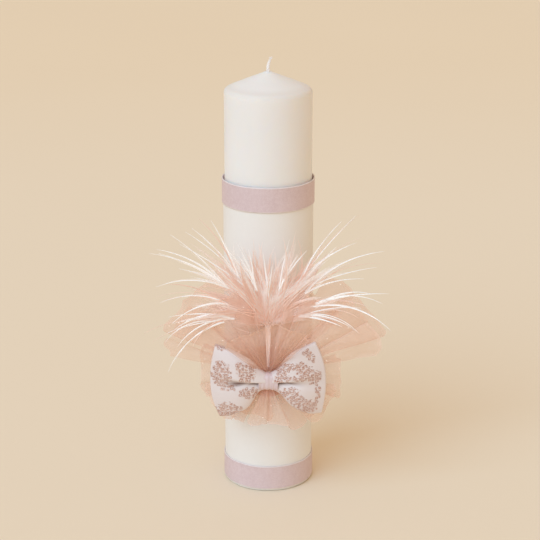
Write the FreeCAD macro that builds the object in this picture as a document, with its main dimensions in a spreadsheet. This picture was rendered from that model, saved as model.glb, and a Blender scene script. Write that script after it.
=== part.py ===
import FreeCAD
import Part
import math
import os

import Sketcher

# Decorated unity candle: a wax pillar in a card wrap with two satin ribbons, and a rosette of
# tulle, ostrich feathers and a padded bow glued to its front.
#
# Millimetres, +Z up. The origin is the centre of the candle's flat base, on the surface that it
# stands on. The rosette faces -Y.

Vector = FreeCAD.Vector
Rotation = FreeCAD.Rotation

# Driving dimensions: alias, value in millimetres or degrees, what it is.
SIZES = [
    ("candle_diameter", 70.0, "wax pillar, outside"),
    ("candle_height", 345.0, "base to the tip of the wax"),
    ("cone_height", 13.5, "tip of the wax above the shoulder"),
    ("shoulder_round", 6.0, "radius of the shoulder"),
    ("foot_chamfer", 0.8, "chamfer round the base"),
    ("tip_diameter", 5.0, "small flat round the wick"),
    ("wick_diameter", 2.8, "braided cotton wick"),
    ("wick_exposed", 10.5, "wick standing out of the wax"),
    ("wick_straight", 4.5, "part of that which stands straight"),
    ("wick_lean", 20.0, "degrees that its end leans over"),
    ("wick_bend", 6.0, "radius of the bend, on the wick's centre line"),
    ("tab_diameter", 20.0, "tin wick tab, flush with the base"),
    ("tab_thickness", 0.4, "sheet of the wick tab"),
    ("tab_neck_diameter", 4.4, "crimped neck of the wick tab"),
    ("tab_neck_height", 6.0, "base to the top of that neck"),
    ("wrap_thickness", 1.2, "fabric-covered card round the pillar"),
    ("wrap_lift", 0.5, "wrap's lower edge above the floor"),
    ("wrap_seam", 0.5, "gap of the wrap's butt seam at the back"),
    ("tape_thickness", 0.25, "double-sided tape under each ribbon"),
    ("tape_width", 12.0, "width of that tape"),
    ("ribbon_thickness", 0.7, "doubled satin ribbon"),
    ("ribbon_width", 20.0, "both ribbons"),
    ("ribbon_lap", 14.0, "length that a ribbon's end laps its start"),
    ("base_ribbon_lift", 2.4, "base ribbon's lower edge above the floor"),
    ("upper_ribbon_lift", 239.8, "upper ribbon's lower edge above the floor"),
    ("rosette_height", 107.5, "middle of the bow above the floor"),
    ("glue_thickness", 0.8, "hot-melt pad between wrap and felt"),
    ("glue_diameter", 28.0, "that pad"),
    ("felt_thickness", 1.5, "felt disc that carries the rosette"),
    ("felt_diameter", 44.0, "that disc"),
    ("gather_diameter", 12.0, "bunched middle of the tulle"),
    ("gather_end", 2.4, "bunched tulle in front of the front petals"),
    ("thread_diameter", 0.5, "binding thread round it"),
    ("thread_pitch", 0.45, "from one turn of that thread to the next"),
    ("layer_gap", 0.3, "clearance between the layers of the rosette"),
    ("petal_root_thickness", 2.0, "petal at the bunch"),
    ("petal_opening", 3.0, "degrees between a petal's back and its front"),
    ("back_tilt", 2.5, "degrees that the back petals lean forward"),
    ("mid_tilt", 8.0, "degrees that the middle petals lean forward"),
    ("front_tilt", 30.0, "degrees that the front petals lean forward"),
    ("fan_rise", 38.0, "bunched tulle's edge to the point above that the feathers fan from"),
    ("fan_depth", 19.5, "wrap's surface to the feathers at that point"),
    ("quill_diameter", 3.4, "bundle of bare quills below that point"),
    ("quill_root_thickness", 1.7, "that bundle where the thread presses it flat"),
    ("feather_stem", 0.6, "half the width of a feather at its root"),
    ("feather_thickness", 3.0, "body of a feather"),
    ("feather_row_step", 4.2, "from the back row of feathers to the front row"),
    ("bow_width", 92.0, "bow, tip to tip"),
    ("bow_height", 57.0, "bow at its tips"),
    ("bow_belly", 44.0, "bow's height halfway out"),
    ("bow_thickness", 15.0, "padded loop halfway out"),
    ("bow_tip_thickness", 9.0, "padded loop at its tip"),
    ("bow_sweep", 5.0, "how far the tips stand forward of the waist"),
    ("bow_cloth", 0.7, "brocade and its lining"),
    ("waist_height", 13.0, "pinched middle of the bow"),
    ("waist_thickness", 8.6, "that middle, front to back"),
    ("waist_flare", 0.4, "how much higher a loop is where it leaves the knot"),
    ("waist_show", 0.5, "pinched stretch that shows beside the knot"),
    ("waist_binding", 2.4, "width of the thread that binds the two loops"),
    ("bow_glue", 1.2, "hot-melt pad between the tulle and the bow"),
    ("bow_glue_diameter", 10.8, "that pad"),
    ("knot_width", 15.5, "satin band round the waist"),
    ("knot_thickness", 0.9, "that band"),
    ("knot_gap", 0.15, "between that band and the loops"),
]

# Tulle petals: layer, direction in degrees from +X towards +Z, spread in degrees, reach in mm.
PETALS = [
    ("back", 0.0, 38.0, 62.0),
    ("back", 40.0, 40.0, 104.0),
    ("back", 82.0, 42.0, 84.0),
    ("back", 132.0, 44.0, 98.0),
    ("back", 172.0, 34.0, 60.0),
    ("back", 212.0, 40.0, 58.0),
    ("back", 255.0, 42.0, 42.0),
    ("back", 310.0, 44.0, 52.0),
    ("mid", 30.0, 26.0, 96.0),
    ("mid", 60.0, 34.0, 80.0),
    ("mid", 118.0, 34.0, 78.0),
    ("mid", 150.0, 30.0, 86.0),
    ("mid", 225.0, 40.0, 40.0),
    ("mid", 330.0, 36.0, 50.0),
    ("front", 72.0, 38.0, 56.0),
    ("front", 112.0, 38.0, 52.0),
    ("front", 270.0, 52.0, 37.0),
]

# Feathers: direction in degrees from +X towards +Z, length and greatest width in mm, degrees that
# the inner and the outer half lean forward, and how far the tip curves aside, anticlockwise.
# Odd ones stand in the back row and even ones in the front row.
FEATHERS = [
    (20.0, 70.0, 10.0, 8.0, 4.0, -70.0),
    (24.0, 102.0, 20.0, 20.0, 8.0, -16.0),
    (45.0, 112.0, 20.0, 8.0, 4.0, 4.0),
    (58.0, 118.0, 20.0, 20.0, 8.0, -6.0),
    (73.0, 82.0, 20.0, 8.0, 4.0, 0.0),
    (91.0, 68.0, 24.0, 20.0, 14.0, 0.0),
    (107.0, 84.0, 20.0, 8.0, 4.0, 0.0),
    (117.0, 112.0, 20.0, 20.0, 8.0, 3.0),
    (132.0, 112.0, 20.0, 8.0, 4.0, 0.0),
    (149.0, 108.0, 20.0, 20.0, 8.0, 4.0),
    (166.0, 72.0, 10.0, 8.0, 4.0, 60.0),
    (176.0, 98.0, 18.0, 20.0, 8.0, -8.0),
]
FEATHER_SIZES = ("direction", "length", "width", "inner_lean", "outer_lean", "sag")
PETAL_SIZES = ("direction", "spread", "reach")

# A feather's outline between its stem and its tip: share of its length, share of its half width.
LEAF = [(0.18, 0.3), (0.45, 0.8), (0.7, 1.0), (0.9, 0.7)]

doc = FreeCAD.newDocument("unity_candle")
sheet = doc.addObject("Spreadsheet::Sheet", "sizes")


def petal_labels():
    counts = {}
    labels = []
    for layer, *_ in PETALS:
        counts[layer] = counts.get(layer, 0) + 1
        labels.append(f"tulle_{layer}_petal_{counts[layer]}")
    return labels


def feather_labels():
    return [f"feather_{number}" for number in range(1, len(FEATHERS) + 1)]


def fill_sheet():
    rows = list(SIZES)
    for label, (_, *values) in zip(petal_labels(), PETALS):
        rows += [(f"{label}_{size}", value, "") for size, value in zip(PETAL_SIZES, values)]
    for label, values in zip(feather_labels(), FEATHERS):
        rows += [(f"{label}_{size}", value, "") for size, value in zip(FEATHER_SIZES, values)]
    for row, (alias, value, meaning) in enumerate(rows, start=1):
        sheet.set(f"A{row}", meaning)
        sheet.set(f"B{row}", str(value))
        sheet.setAlias(f"B{row}", alias)
    doc.recompute()


def spelled(formula):
    """A formula that has the sheet's aliases in angle brackets, as FreeCAD reads it."""
    return formula.replace("<", "sizes.").replace(">", "")


def value_of(formula):
    return float(sheet.evalExpression(spelled(formula)))


# ---- shared formulas ----
CANDLE_RADIUS = "<candle_diameter> / 2"
WRAP_RADIUS = "(<candle_diameter> / 2 + <wrap_thickness>)"
RIBBON_RADIUS = f"({WRAP_RADIUS} + <tape_thickness>)"
GLUE_RADIUS = f"({WRAP_RADIUS} + <glue_thickness>)"
FELT_RADIUS = f"({GLUE_RADIUS} + <felt_thickness>)"
GATHER_RADIUS = "(<gather_diameter> / 2)"
FAN_HEIGHT = f"({GATHER_RADIUS} + <fan_rise>)"
# The rosette's layers, from the wrap's surface to the front.
BACK_ROOT = "(<glue_thickness> + <felt_thickness> + 2 * <layer_gap>)"
MID_ROOT = f"({BACK_ROOT} + <petal_root_thickness> + <layer_gap>)"
QUILL_ROOT = f"({MID_ROOT} + <petal_root_thickness> + <layer_gap>)"
THREAD_ROOT = f"({QUILL_ROOT} + <quill_root_thickness> + <layer_gap>)"
FRONT_ROOT = f"({THREAD_ROOT} + <thread_diameter> + 2 * <thread_pitch> + <layer_gap>)"
GATHER_FRONT = f"({FRONT_ROOT} + <petal_root_thickness> + <gather_end>)"
BOW_BACK = f"({GATHER_FRONT} + <bow_glue>)"
BOW_MIDDLE = f"({BOW_BACK} + <knot_thickness> + <knot_gap> + <waist_thickness> / 2)"


# ---- sketching and PartDesign helpers ----
def new_body(label):
    body = doc.addObject("PartDesign::Body", label)
    body.Label = label
    return body


def plane_of(body, role):
    return next(f for f in body.Origin.OriginFeatures if f.Role == role)


def new_sketch(body, role, name, offset=None):
    """A sketch on one of the body's own origin planes, moved along its normal by a formula."""
    sketch = body.newObject("Sketcher::SketchObject", f"{body.Label}_{name}")
    sketch.AttachmentSupport = [(plane_of(body, role), "")]
    sketch.MapMode = "FlatFace"
    if offset is not None:
        sketch.setExpression("AttachmentOffset.Base.z", spelled(offset))
    return sketch


def bind(sketch, kind, places, formula):
    """A dimension whose value is a formula in the sheet."""
    index = sketch.addConstraint(Sketcher.Constraint(kind, *places, value_of(formula)))
    sketch.setExpression(f"Constraints[{index}]", spelled(formula))


def polygon(sketch, corners):
    """A closed outline. Each corner is a pair of formulas, measured from the sketch's origin."""
    points = [Vector(value_of(x), value_of(y), 0) for x, y in corners]
    first = sketch.GeometryCount
    count = len(points)
    for i in range(count):
        sketch.addGeometry(Part.LineSegment(points[i], points[(i + 1) % count]), False)
    for i in range(count):
        after = first + (i + 1) % count
        sketch.addConstraint(Sketcher.Constraint("Coincident", first + i, 2, after, 1))
    for i, (x, y) in enumerate(corners):
        for kind, axis, formula in (("DistanceX", -2, x), ("DistanceY", -1, y)):
            if formula == "0":
                sketch.addConstraint(Sketcher.Constraint("PointOnObject", first + i, 1, axis))
            else:
                bind(sketch, kind, (-1, 1, first + i, 1), formula)


def circle(sketch, radius, centre="0"):
    """A circle whose middle is on the sketch's y axis."""
    middle = Vector(0, value_of(centre), 0)
    index = sketch.addGeometry(Part.Circle(middle, Vector(0, 0, 1), value_of(radius)), False)
    if centre == "0":
        sketch.addConstraint(Sketcher.Constraint("Coincident", index, 3, -1, 1))
    else:
        sketch.addConstraint(Sketcher.Constraint("PointOnObject", index, 3, -2))
        bind(sketch, "DistanceY", (-1, 1, index, 3), centre)
    bind(sketch, "Radius", (index,), radius)


def slot(sketch, length, width, centre):
    """A slot outline along the sketch's x axis, its middle at y = centre."""
    reach = value_of(f"({length}) / 2 - ({width}) / 2")
    radius = value_of(f"({width}) / 2")
    y = value_of(centre)
    quarter = math.pi / 2
    normal = Vector(0, 0, 1)
    top = sketch.addGeometry(
        Part.LineSegment(Vector(reach, y + radius, 0), Vector(-reach, y + radius, 0)), False
    )
    left = sketch.addGeometry(
        Part.ArcOfCircle(Part.Circle(Vector(-reach, y, 0), normal, radius), quarter, 3 * quarter), False
    )
    bottom = sketch.addGeometry(
        Part.LineSegment(Vector(-reach, y - radius, 0), Vector(reach, y - radius, 0)), False
    )
    right = sketch.addGeometry(
        Part.ArcOfCircle(Part.Circle(Vector(reach, y, 0), normal, radius), -quarter, quarter), False
    )
    for a, b in ((top, left), (left, bottom), (bottom, right), (right, top)):
        sketch.addConstraint(Sketcher.Constraint("Tangent", a, 2, b, 1))
    sketch.addConstraint(Sketcher.Constraint("Equal", left, right))
    bind(sketch, "Radius", (left,), f"({width}) / 2")
    bind(sketch, "DistanceX", (-1, 1, right, 3), f"({length}) / 2 - ({width}) / 2")
    bind(sketch, "DistanceX", (left, 3, -1, 1), f"({length}) / 2 - ({width}) / 2")
    bind(sketch, "DistanceY", (-1, 1, right, 3), centre)
    bind(sketch, "DistanceY", (-1, 1, left, 3), centre)


def pad(body, sketch, length, symmetric=False):
    feature = body.newObject("PartDesign::Pad", f"{body.Label}_pad")
    feature.Profile = sketch
    feature.setExpression("Length", spelled(length))
    if symmetric:
        feature.SideType = "Symmetric"
    return feature


def cut_through(body, sketch):
    feature = body.newObject("PartDesign::Pocket", f"{body.Label}_pocket")
    feature.Profile = sketch
    feature.Type = "ThroughAll"
    feature.SideType = "Symmetric"
    return feature


def revolve(body, sketch, angle="360", symmetric=False):
    """Turns a sketch on the XZ plane about the body's own Z axis."""
    feature = body.newObject("PartDesign::Revolution", f"{body.Label}_turn")
    feature.Profile = sketch
    feature.ReferenceAxis = (plane_of(body, "Z_Axis"), [""])
    feature.Midplane = symmetric
    feature.setExpression("Angle", spelled(angle))
    return feature


def turned(label, corners):
    body = new_body(label)
    profile = new_sketch(body, "XZ_Plane", "profile")
    polygon(profile, corners)
    revolve(body, profile)
    return body


def edges_near(feature, radius, height):
    """Names of the round edges of that radius at that height."""
    doc.recompute()
    names = []
    for number, edge in enumerate(feature.Shape.Edges, start=1):
        curve = edge.Curve
        if not isinstance(curve, Part.Circle):
            continue
        if abs(curve.Radius - radius) < 1e-4 and abs(curve.Center.z - height) < 1e-4:
            names.append(f"Edge{number}")
    return names


def on_rosette(thing, direction="0", up="0"):
    """Puts a body that was drawn facing +Z, with +Y up, on the front of the wrap, at the rosette's
    middle or that far above it, its +X turned to a direction in the rosette's plane."""
    around = FreeCAD.Placement(Vector(0, 0, 0), Rotation(Vector(1, 0, 0), 90))
    turn = Rotation(Vector(0, 0, 1), value_of(direction))
    thing.Placement = around * FreeCAD.Placement(Vector(0, 0, 0), turn)
    thing.setExpression("Placement.Base.y", spelled(f"-{WRAP_RADIUS}"))
    thing.setExpression("Placement.Base.z", spelled(f"<rosette_height> + {up}"))


# ---- the pillar ----
def candle_body():
    """Wax pillar with a coned top, cast round the wick and its tab."""
    bore = "<wick_diameter> / 2"
    neck = "<tab_neck_diameter> / 2"
    tab = "<tab_diameter> / 2"
    shoulder = "<candle_height> - <cone_height>"
    body = turned(
        "candle_body",
        [
            (tab, "0"),
            (CANDLE_RADIUS, "0"),
            (CANDLE_RADIUS, shoulder),
            ("<tip_diameter> / 2", "<candle_height>"),
            (bore, "<candle_height>"),
            (bore, "<tab_neck_height>"),
            (neck, "<tab_neck_height>"),
            (neck, "<tab_thickness>"),
            (tab, "<tab_thickness>"),
        ],
    )
    radius = value_of(CANDLE_RADIUS)
    rounding = body.newObject("PartDesign::Fillet", "shoulder_fillet")
    before = body.getObject("candle_body_turn")
    rounding.Base = (before, edges_near(before, radius, value_of(shoulder)))
    rounding.setExpression("Radius", spelled("<shoulder_round>"))
    chamfer = body.newObject("PartDesign::Chamfer", "foot_chamfer")
    chamfer.Base = (rounding, edges_near(rounding, radius, 0.0))
    chamfer.setExpression("Size", spelled("<foot_chamfer>"))
    return body


def wick():
    """Cotton wick from the tab to its bent, leaning end."""
    body = new_body("wick")
    route = new_sketch(body, "XZ_Plane", "route")
    bottom = value_of("<tab_thickness>")
    knee = value_of("<candle_height> + <wick_straight>")
    bend = value_of("<wick_bend>")
    lean = math.radians(value_of("<wick_lean>"))
    end_run = "(<wick_exposed> - <wick_straight> - <wick_bend> * <wick_lean> * pi / 180)"
    run = value_of(end_run)
    after = Vector(bend * (1 - math.cos(lean)), knee + bend * math.sin(lean), 0)
    tip = after + Vector(math.sin(lean), math.cos(lean), 0) * run
    straight = route.addGeometry(Part.LineSegment(Vector(0, bottom, 0), Vector(0, knee, 0)), False)
    arc = route.addGeometry(
        Part.ArcOfCircle(
            Part.Circle(Vector(bend, knee, 0), Vector(0, 0, 1), bend), math.pi - lean, math.pi
        ),
        False,
    )
    leaning = route.addGeometry(Part.LineSegment(after, tip), False)
    route.addConstraint(Sketcher.Constraint("PointOnObject", straight, 1, -2))
    route.addConstraint(Sketcher.Constraint("Vertical", straight))
    route.addConstraint(Sketcher.Constraint("Tangent", straight, 2, arc, 2))
    route.addConstraint(Sketcher.Constraint("Tangent", arc, 1, leaning, 1))
    bind(route, "DistanceY", (-1, 1, straight, 1), "<tab_thickness>")
    bind(route, "DistanceY", (-1, 1, straight, 2), "<candle_height> + <wick_straight>")
    bind(route, "Radius", (arc,), "<wick_bend>")
    bind(route, "Distance", (leaning,), end_run)
    bind(route, "DistanceX", (arc, 1, arc, 3), "<wick_bend> * cos(<wick_lean>)")
    section = new_sketch(body, "XY_Plane", "section", "<tab_thickness>")
    circle(section, "<wick_diameter> / 2")
    pipe = body.newObject("PartDesign::AdditivePipe", "wick_pipe")
    pipe.Profile = section
    pipe.Spine = (route, [])
    return body


def wick_sustainer():
    """Tin tab with a crimped neck that holds the wick's foot."""
    bore = "<wick_diameter> / 2"
    neck = "<tab_neck_diameter> / 2"
    tab = "<tab_diameter> / 2"
    return turned(
        "wick_sustainer",
        [
            ("0", "0"),
            (tab, "0"),
            (tab, "<tab_thickness>"),
            (neck, "<tab_thickness>"),
            (neck, "<tab_neck_height>"),
            (bore, "<tab_neck_height>"),
            (bore, "<tab_thickness>"),
            ("0", "<tab_thickness>"),
        ],
    )


def body_wrap():
    """Stiff fabric-covered card round the pillar, as high as the upper ribbon's tape, with a butt
    seam at the back."""
    body = new_body("body_wrap")
    ring = new_sketch(body, "XY_Plane", "ring", "<wrap_lift>")
    circle(ring, WRAP_RADIUS)
    circle(ring, CANDLE_RADIUS)
    tape_top = "<upper_ribbon_lift> + (<ribbon_width> + <tape_width>) / 2"
    pad(body, ring, f"{tape_top} - <wrap_lift>")
    gap = new_sketch(body, "XY_Plane", "gap")
    half = "<wrap_seam> / 2"
    far = f"2 * {WRAP_RADIUS}"
    polygon(gap, [(half, "0"), (half, far), (f"-({half})", far), (f"-({half})", "0")])
    cut_through(body, gap)
    return body


def ribbon(label, lift):
    """A band of ribbon whose end laps its start at the back, left of the wrap's seam."""
    body = new_body(label)
    outer = f"({RIBBON_RADIUS} + <ribbon_thickness>)"
    ring = new_sketch(body, "XY_Plane", "ring", lift)
    circle(ring, outer)
    circle(ring, RIBBON_RADIUS)
    pad(body, ring, "<ribbon_width>")
    lap = new_sketch(body, "XY_Plane", "lap", lift)
    low = value_of(outer)
    high = value_of(f"{outer} + <ribbon_thickness>")
    turn = value_of(f"<ribbon_lap> / {outer}")
    start = math.pi / 2
    arcs = []
    for radius in (low, high):
        arc = Part.ArcOfCircle(
            Part.Circle(Vector(0, 0, 0), Vector(0, 0, 1), radius), start, start + turn
        )
        arcs.append(lap.addGeometry(arc, False))
    near = Vector(0, 1, 0)
    far = Vector(-math.sin(turn), math.cos(turn), 0)
    ends = [
        lap.addGeometry(Part.LineSegment(way * low, way * high), False) for way in (near, far)
    ]
    for arc in arcs:
        lap.addConstraint(Sketcher.Constraint("Coincident", arc, 3, -1, 1))
    for end, arc_end in zip(ends, (1, 2)):
        lap.addConstraint(Sketcher.Constraint("Coincident", end, 1, arcs[0], arc_end))
        lap.addConstraint(Sketcher.Constraint("Coincident", end, 2, arcs[1], arc_end))
    lap.addConstraint(Sketcher.Constraint("PointOnObject", ends[0], 1, -2))
    lap.addConstraint(Sketcher.Constraint("PointOnObject", ends[0], 2, -2))
    lap.addConstraint(Sketcher.Constraint("PointOnObject", -1, 1, ends[1]))
    bind(lap, "Radius", (arcs[0],), outer)
    bind(lap, "Radius", (arcs[1],), f"{outer} + <ribbon_thickness>")
    bind(lap, "DistanceX", (ends[1], 1, -1, 1), f"{outer} * sin(<ribbon_lap> / {outer} * 180 / pi)")
    pad(body, lap, "<ribbon_width>")
    return body


def ribbon_tape(label, lift):
    """The strip of double-sided tape under a ribbon's middle."""
    body = new_body(label)
    ring = new_sketch(body, "XY_Plane", "ring", f"{lift} + (<ribbon_width> - <tape_width>) / 2")
    circle(ring, RIBBON_RADIUS)
    circle(ring, WRAP_RADIUS)
    pad(body, ring, "<tape_width>")
    return body


# ---- the rosette's mounting ----
def curved_disc(label, inner, outer, diameter):
    """A round patch of a sheet that lies on the wrap: a ring cut out by a cylinder."""
    tall = f"{diameter} + 10"
    rings = []
    for name, radius in (("inside", inner), ("outside", outer)):
        ring = doc.addObject("Part::Cylinder", f"{label}_{name}")
        ring.setExpression("Radius", spelled(radius))
        ring.setExpression("Height", spelled(tall))
        ring.setExpression("Placement.Base.z", spelled(f"<rosette_height> - ({tall}) / 2"))
        rings.append(ring)
    sleeve = doc.addObject("Part::Cut", f"{label}_sleeve")
    sleeve.Base = rings[1]
    sleeve.Tool = rings[0]
    punch = doc.addObject("Part::Cylinder", f"{label}_punch")
    punch.setExpression("Radius", spelled(f"{diameter} / 2"))
    punch.setExpression("Height", spelled(f"{outer} + 5"))
    punch.Placement = FreeCAD.Placement(Vector(0, 0, 0), Rotation(Vector(1, 0, 0), 90))
    punch.setExpression("Placement.Base.z", spelled("<rosette_height>"))
    disc = doc.addObject("Part::Common", label)
    disc.Label = label
    disc.Base = sleeve
    disc.Tool = punch
    return disc


def tulle_gather():
    """The bunched middle of the tulle, glued to the curved felt."""
    post = doc.addObject("Part::Cylinder", "gather_post")
    post.setExpression("Radius", spelled("<gather_diameter> / 2"))
    post.setExpression("Height", spelled(f"{WRAP_RADIUS} + {GATHER_FRONT}"))
    post.Placement = FreeCAD.Placement(Vector(0, 0, 0), Rotation(Vector(1, 0, 0), 90))
    post.setExpression("Placement.Base.z", spelled("<rosette_height>"))
    pillar = doc.addObject("Part::Cylinder", "gather_pillar")
    pillar.setExpression("Radius", spelled(FELT_RADIUS))
    pillar.setExpression("Height", spelled("<rosette_height> * 2"))
    gather = doc.addObject("Part::Cut", "tulle_gather")
    gather.Label = "tulle_gather"
    gather.Base = post
    gather.Tool = pillar
    return gather


def gather_thread():
    """Three close turns of binding thread round the bunch, just behind the front petals."""
    turns = []
    for number in range(3):
        turn = doc.addObject("Part::Torus", f"thread_turn_{number + 1}")
        turn.setExpression("Radius1", spelled("(<gather_diameter> + <thread_diameter>) / 2"))
        turn.setExpression("Radius2", spelled("<thread_diameter> / 2"))
        turn.Placement = FreeCAD.Placement(Vector(0, 0, 0), Rotation(Vector(1, 0, 0), 90))
        depth = f"{THREAD_ROOT} + <thread_diameter> / 2 + <thread_pitch> * {number}"
        turn.setExpression("Placement.Base.y", spelled(f"-({WRAP_RADIUS} + {depth})"))
        turn.setExpression("Placement.Base.z", spelled("<rosette_height>"))
        turns.append(turn)
    thread = doc.addObject("Part::MultiFuse", "gather_thread")
    thread.Label = "gather_thread"
    thread.Shapes = turns
    return thread


# ---- tulle ----
PETAL_LAYERS = {
    "back": (BACK_ROOT, "<back_tilt>"),
    "mid": (MID_ROOT, "<mid_tilt>"),
    "front": (FRONT_ROOT, "<front_tilt>"),
}


def tulle_petal(label, layer):
    """A fan of gathered tulle: a wedge that starts thin at the bunch and leans forward."""
    depth, tilt = PETAL_LAYERS[layer]
    reach = f"<{label}_reach>"
    out = f"({reach} - {GATHER_RADIUS})"
    front = f"{depth} + <petal_root_thickness>"
    body = new_body(label)
    profile = new_sketch(body, "XZ_Plane", "profile")
    polygon(
        profile,
        [
            (GATHER_RADIUS, depth),
            (reach, f"{depth} + {out} * tan({tilt})"),
            (reach, f"{front} + {out} * tan({tilt} + <petal_opening>)"),
            (GATHER_RADIUS, front),
        ],
    )
    revolve(body, profile, f"<{label}_spread>", symmetric=True)
    on_rosette(body, f"<{label}_direction>")
    return body


# ---- feathers ----
def feather_quills():
    """The bare quills, bundled, from the bunched tulle up to the bound head that the feathers fan
    from."""
    body = new_body("feather_quills")
    side = new_sketch(body, "YZ_Plane", "side")
    polygon(
        side,
        [
            (GATHER_RADIUS, QUILL_ROOT),
            (FAN_HEIGHT, "<fan_depth>"),
            (FAN_HEIGHT, "<fan_depth> + <quill_diameter>"),
            (GATHER_RADIUS, f"{QUILL_ROOT} + <quill_root_thickness>"),
        ],
    )
    pad(body, side, "<quill_diameter>", symmetric=True)
    head = new_sketch(body, "XY_Plane", "head", "<fan_depth>")
    circle(head, "<quill_diameter>", FAN_HEIGHT)
    pad(body, head, "<feather_row_step> + <feather_thickness>")
    on_rosette(body)
    return body


def feather(label, row):
    """A plume: a bent blade with a leaf outline, from the bound head outwards."""
    body = new_body(label)
    length = f"<{label}_length>"
    start = "<quill_diameter>"
    depth = f"(<fan_depth> + {row} * <feather_row_step>)"
    knee = f"({length} / 2)"
    knee_depth = f"({depth} + {knee} * tan(<{label}_inner_lean>))"
    end_depth = f"({knee_depth} + {knee} * tan(<{label}_outer_lean>))"
    reach = f"{length} + <{label}_width>"
    reach_depth = f"{end_depth} + <{label}_width> * tan(<{label}_outer_lean>)"
    blade = new_sketch(body, "XZ_Plane", "blade")
    polygon(
        blade,
        [
            ("0", depth),
            (knee, knee_depth),
            (reach, reach_depth),
            (reach, f"{reach_depth} + <feather_thickness>"),
            (knee, f"{knee_depth} + <feather_thickness>"),
            ("0", f"{depth} + <feather_thickness>"),
        ],
    )
    breadth = f"(2 * (<{label}_width> + abs(<{label}_sag>)))"
    pad(body, blade, breadth, symmetric=True)
    outline = [(0.0, "<feather_stem>")]
    outline += [(along, f"<{label}_width> / 2 * {across}") for along, across in LEAF]
    outline += [(1.0, "<feather_stem>")]
    sides = [(along, half, "+") for along, half in outline]
    sides += [(along, half, "-") for along, half in reversed(outline)]
    leaf = new_sketch(body, "XY_Plane", "leaf")
    waste = ["-<quill_diameter>", f"2 * {length}"]
    polygon(
        leaf,
        [
            (waste[0], f"-{breadth}"),
            (waste[1], f"-{breadth}"),
            (waste[1], breadth),
            (waste[0], breadth),
        ],
    )
    polygon(
        leaf,
        [
            (
                f"{start} + ({length} - {start}) * {along}",
                f"<{label}_sag> * {along} ^ 2 {sign} {half}",
            )
            for along, half, sign in sides
        ],
    )
    cut_through(body, leaf)
    on_rosette(body, f"<{label}_direction>", FAN_HEIGHT)
    return body


# ---- the bow ----
def loop_stations():
    """Where a loop's cross sections stand, its height and thickness there, and how far forward."""
    waist_end = "(<knot_width> / 2 + <waist_show>)"
    return [
        ("<waist_binding> / 2", "<waist_height>", "<waist_thickness>", "0"),
        (waist_end, "<waist_height> + <waist_flare>", "<waist_thickness>", "0"),
        ("<bow_width> * 0.3", "<bow_belly>", "<bow_thickness>", "<bow_sweep> * 0.5"),
        ("<bow_width> / 2", "<bow_height>", "<bow_tip_thickness>", "<bow_sweep>"),
    ]


def loft_through(body, kind, name, side, inset):
    """A loft through the loop's sections, each smaller all round by inset."""
    sections = []
    stations = loop_stations()
    last = len(stations) - 1
    for number, (out, height, thickness, sweep) in enumerate(stations):
        shift = {0: f"{out} + {inset}", last: f"{out} - {inset}"}.get(number, out)
        offset = f"{side} * ({shift})"
        section = new_sketch(body, "YZ_Plane", f"{name}_{number + 1}", offset)
        slot(
            section,
            f"{height} - 2 * {inset}",
            f"{thickness} - 2 * {inset}",
            f"{BOW_MIDDLE} + {sweep}",
        )
        sections.append(section)
    loft = body.newObject(kind, f"{body.Label}_{name}_loft")
    loft.Profile = sections[0]
    loft.Sections = sections[1:]
    loft.Ruled = False
    return loft


def bow_loop(hand, side):
    """One padded loop: the brocade cover and, inside it, the wadding."""
    cover = new_body(f"bow_cover_{hand}")
    loft_through(cover, "PartDesign::AdditiveLoft", "outer", side, "0")
    loft_through(cover, "PartDesign::SubtractiveLoft", "inner", side, "<bow_cloth>")
    on_rosette(cover)
    wadding = new_body(f"bow_wadding_{hand}")
    loft_through(wadding, "PartDesign::AdditiveLoft", "fill", side, "<bow_cloth>")
    on_rosette(wadding)
    return [cover, wadding]


# The hole of the knot, which the binding fills and the loops clear.
KNOT_HOLE_HEIGHT = "(<waist_height> + <waist_flare> + 2 * <knot_gap>)"
KNOT_HOLE_THICKNESS = "(<waist_thickness> + 2 * <knot_gap>)"


def bow_waist_binding():
    """Thread wound round the pinch, between the two loops."""
    body = new_body("bow_waist_binding")
    section = new_sketch(body, "YZ_Plane", "section")
    slot(section, KNOT_HOLE_HEIGHT, KNOT_HOLE_THICKNESS, BOW_MIDDLE)
    pad(body, section, "<waist_binding>", symmetric=True)
    on_rosette(body)
    return body


def bow_knot():
    """Satin band wrapped over the waist."""
    body = new_body("bow_knot")
    section = new_sketch(body, "YZ_Plane", "section")
    slot(
        section,
        f"{KNOT_HOLE_HEIGHT} + 2 * <knot_thickness>",
        f"{KNOT_HOLE_THICKNESS} + 2 * <knot_thickness>",
        BOW_MIDDLE,
    )
    slot(section, KNOT_HOLE_HEIGHT, KNOT_HOLE_THICKNESS, BOW_MIDDLE)
    pad(body, section, "<knot_width>", symmetric=True)
    on_rosette(body)
    return body


def bow_glue_pad():
    """Hot-melt between the bunched tulle and the back of the knot."""
    body = new_body("bow_glue_pad")
    section = new_sketch(body, "XY_Plane", "section", GATHER_FRONT)
    circle(section, "<bow_glue_diameter> / 2")
    pad(body, section, "<bow_glue>")
    on_rosette(body)
    return body


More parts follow.
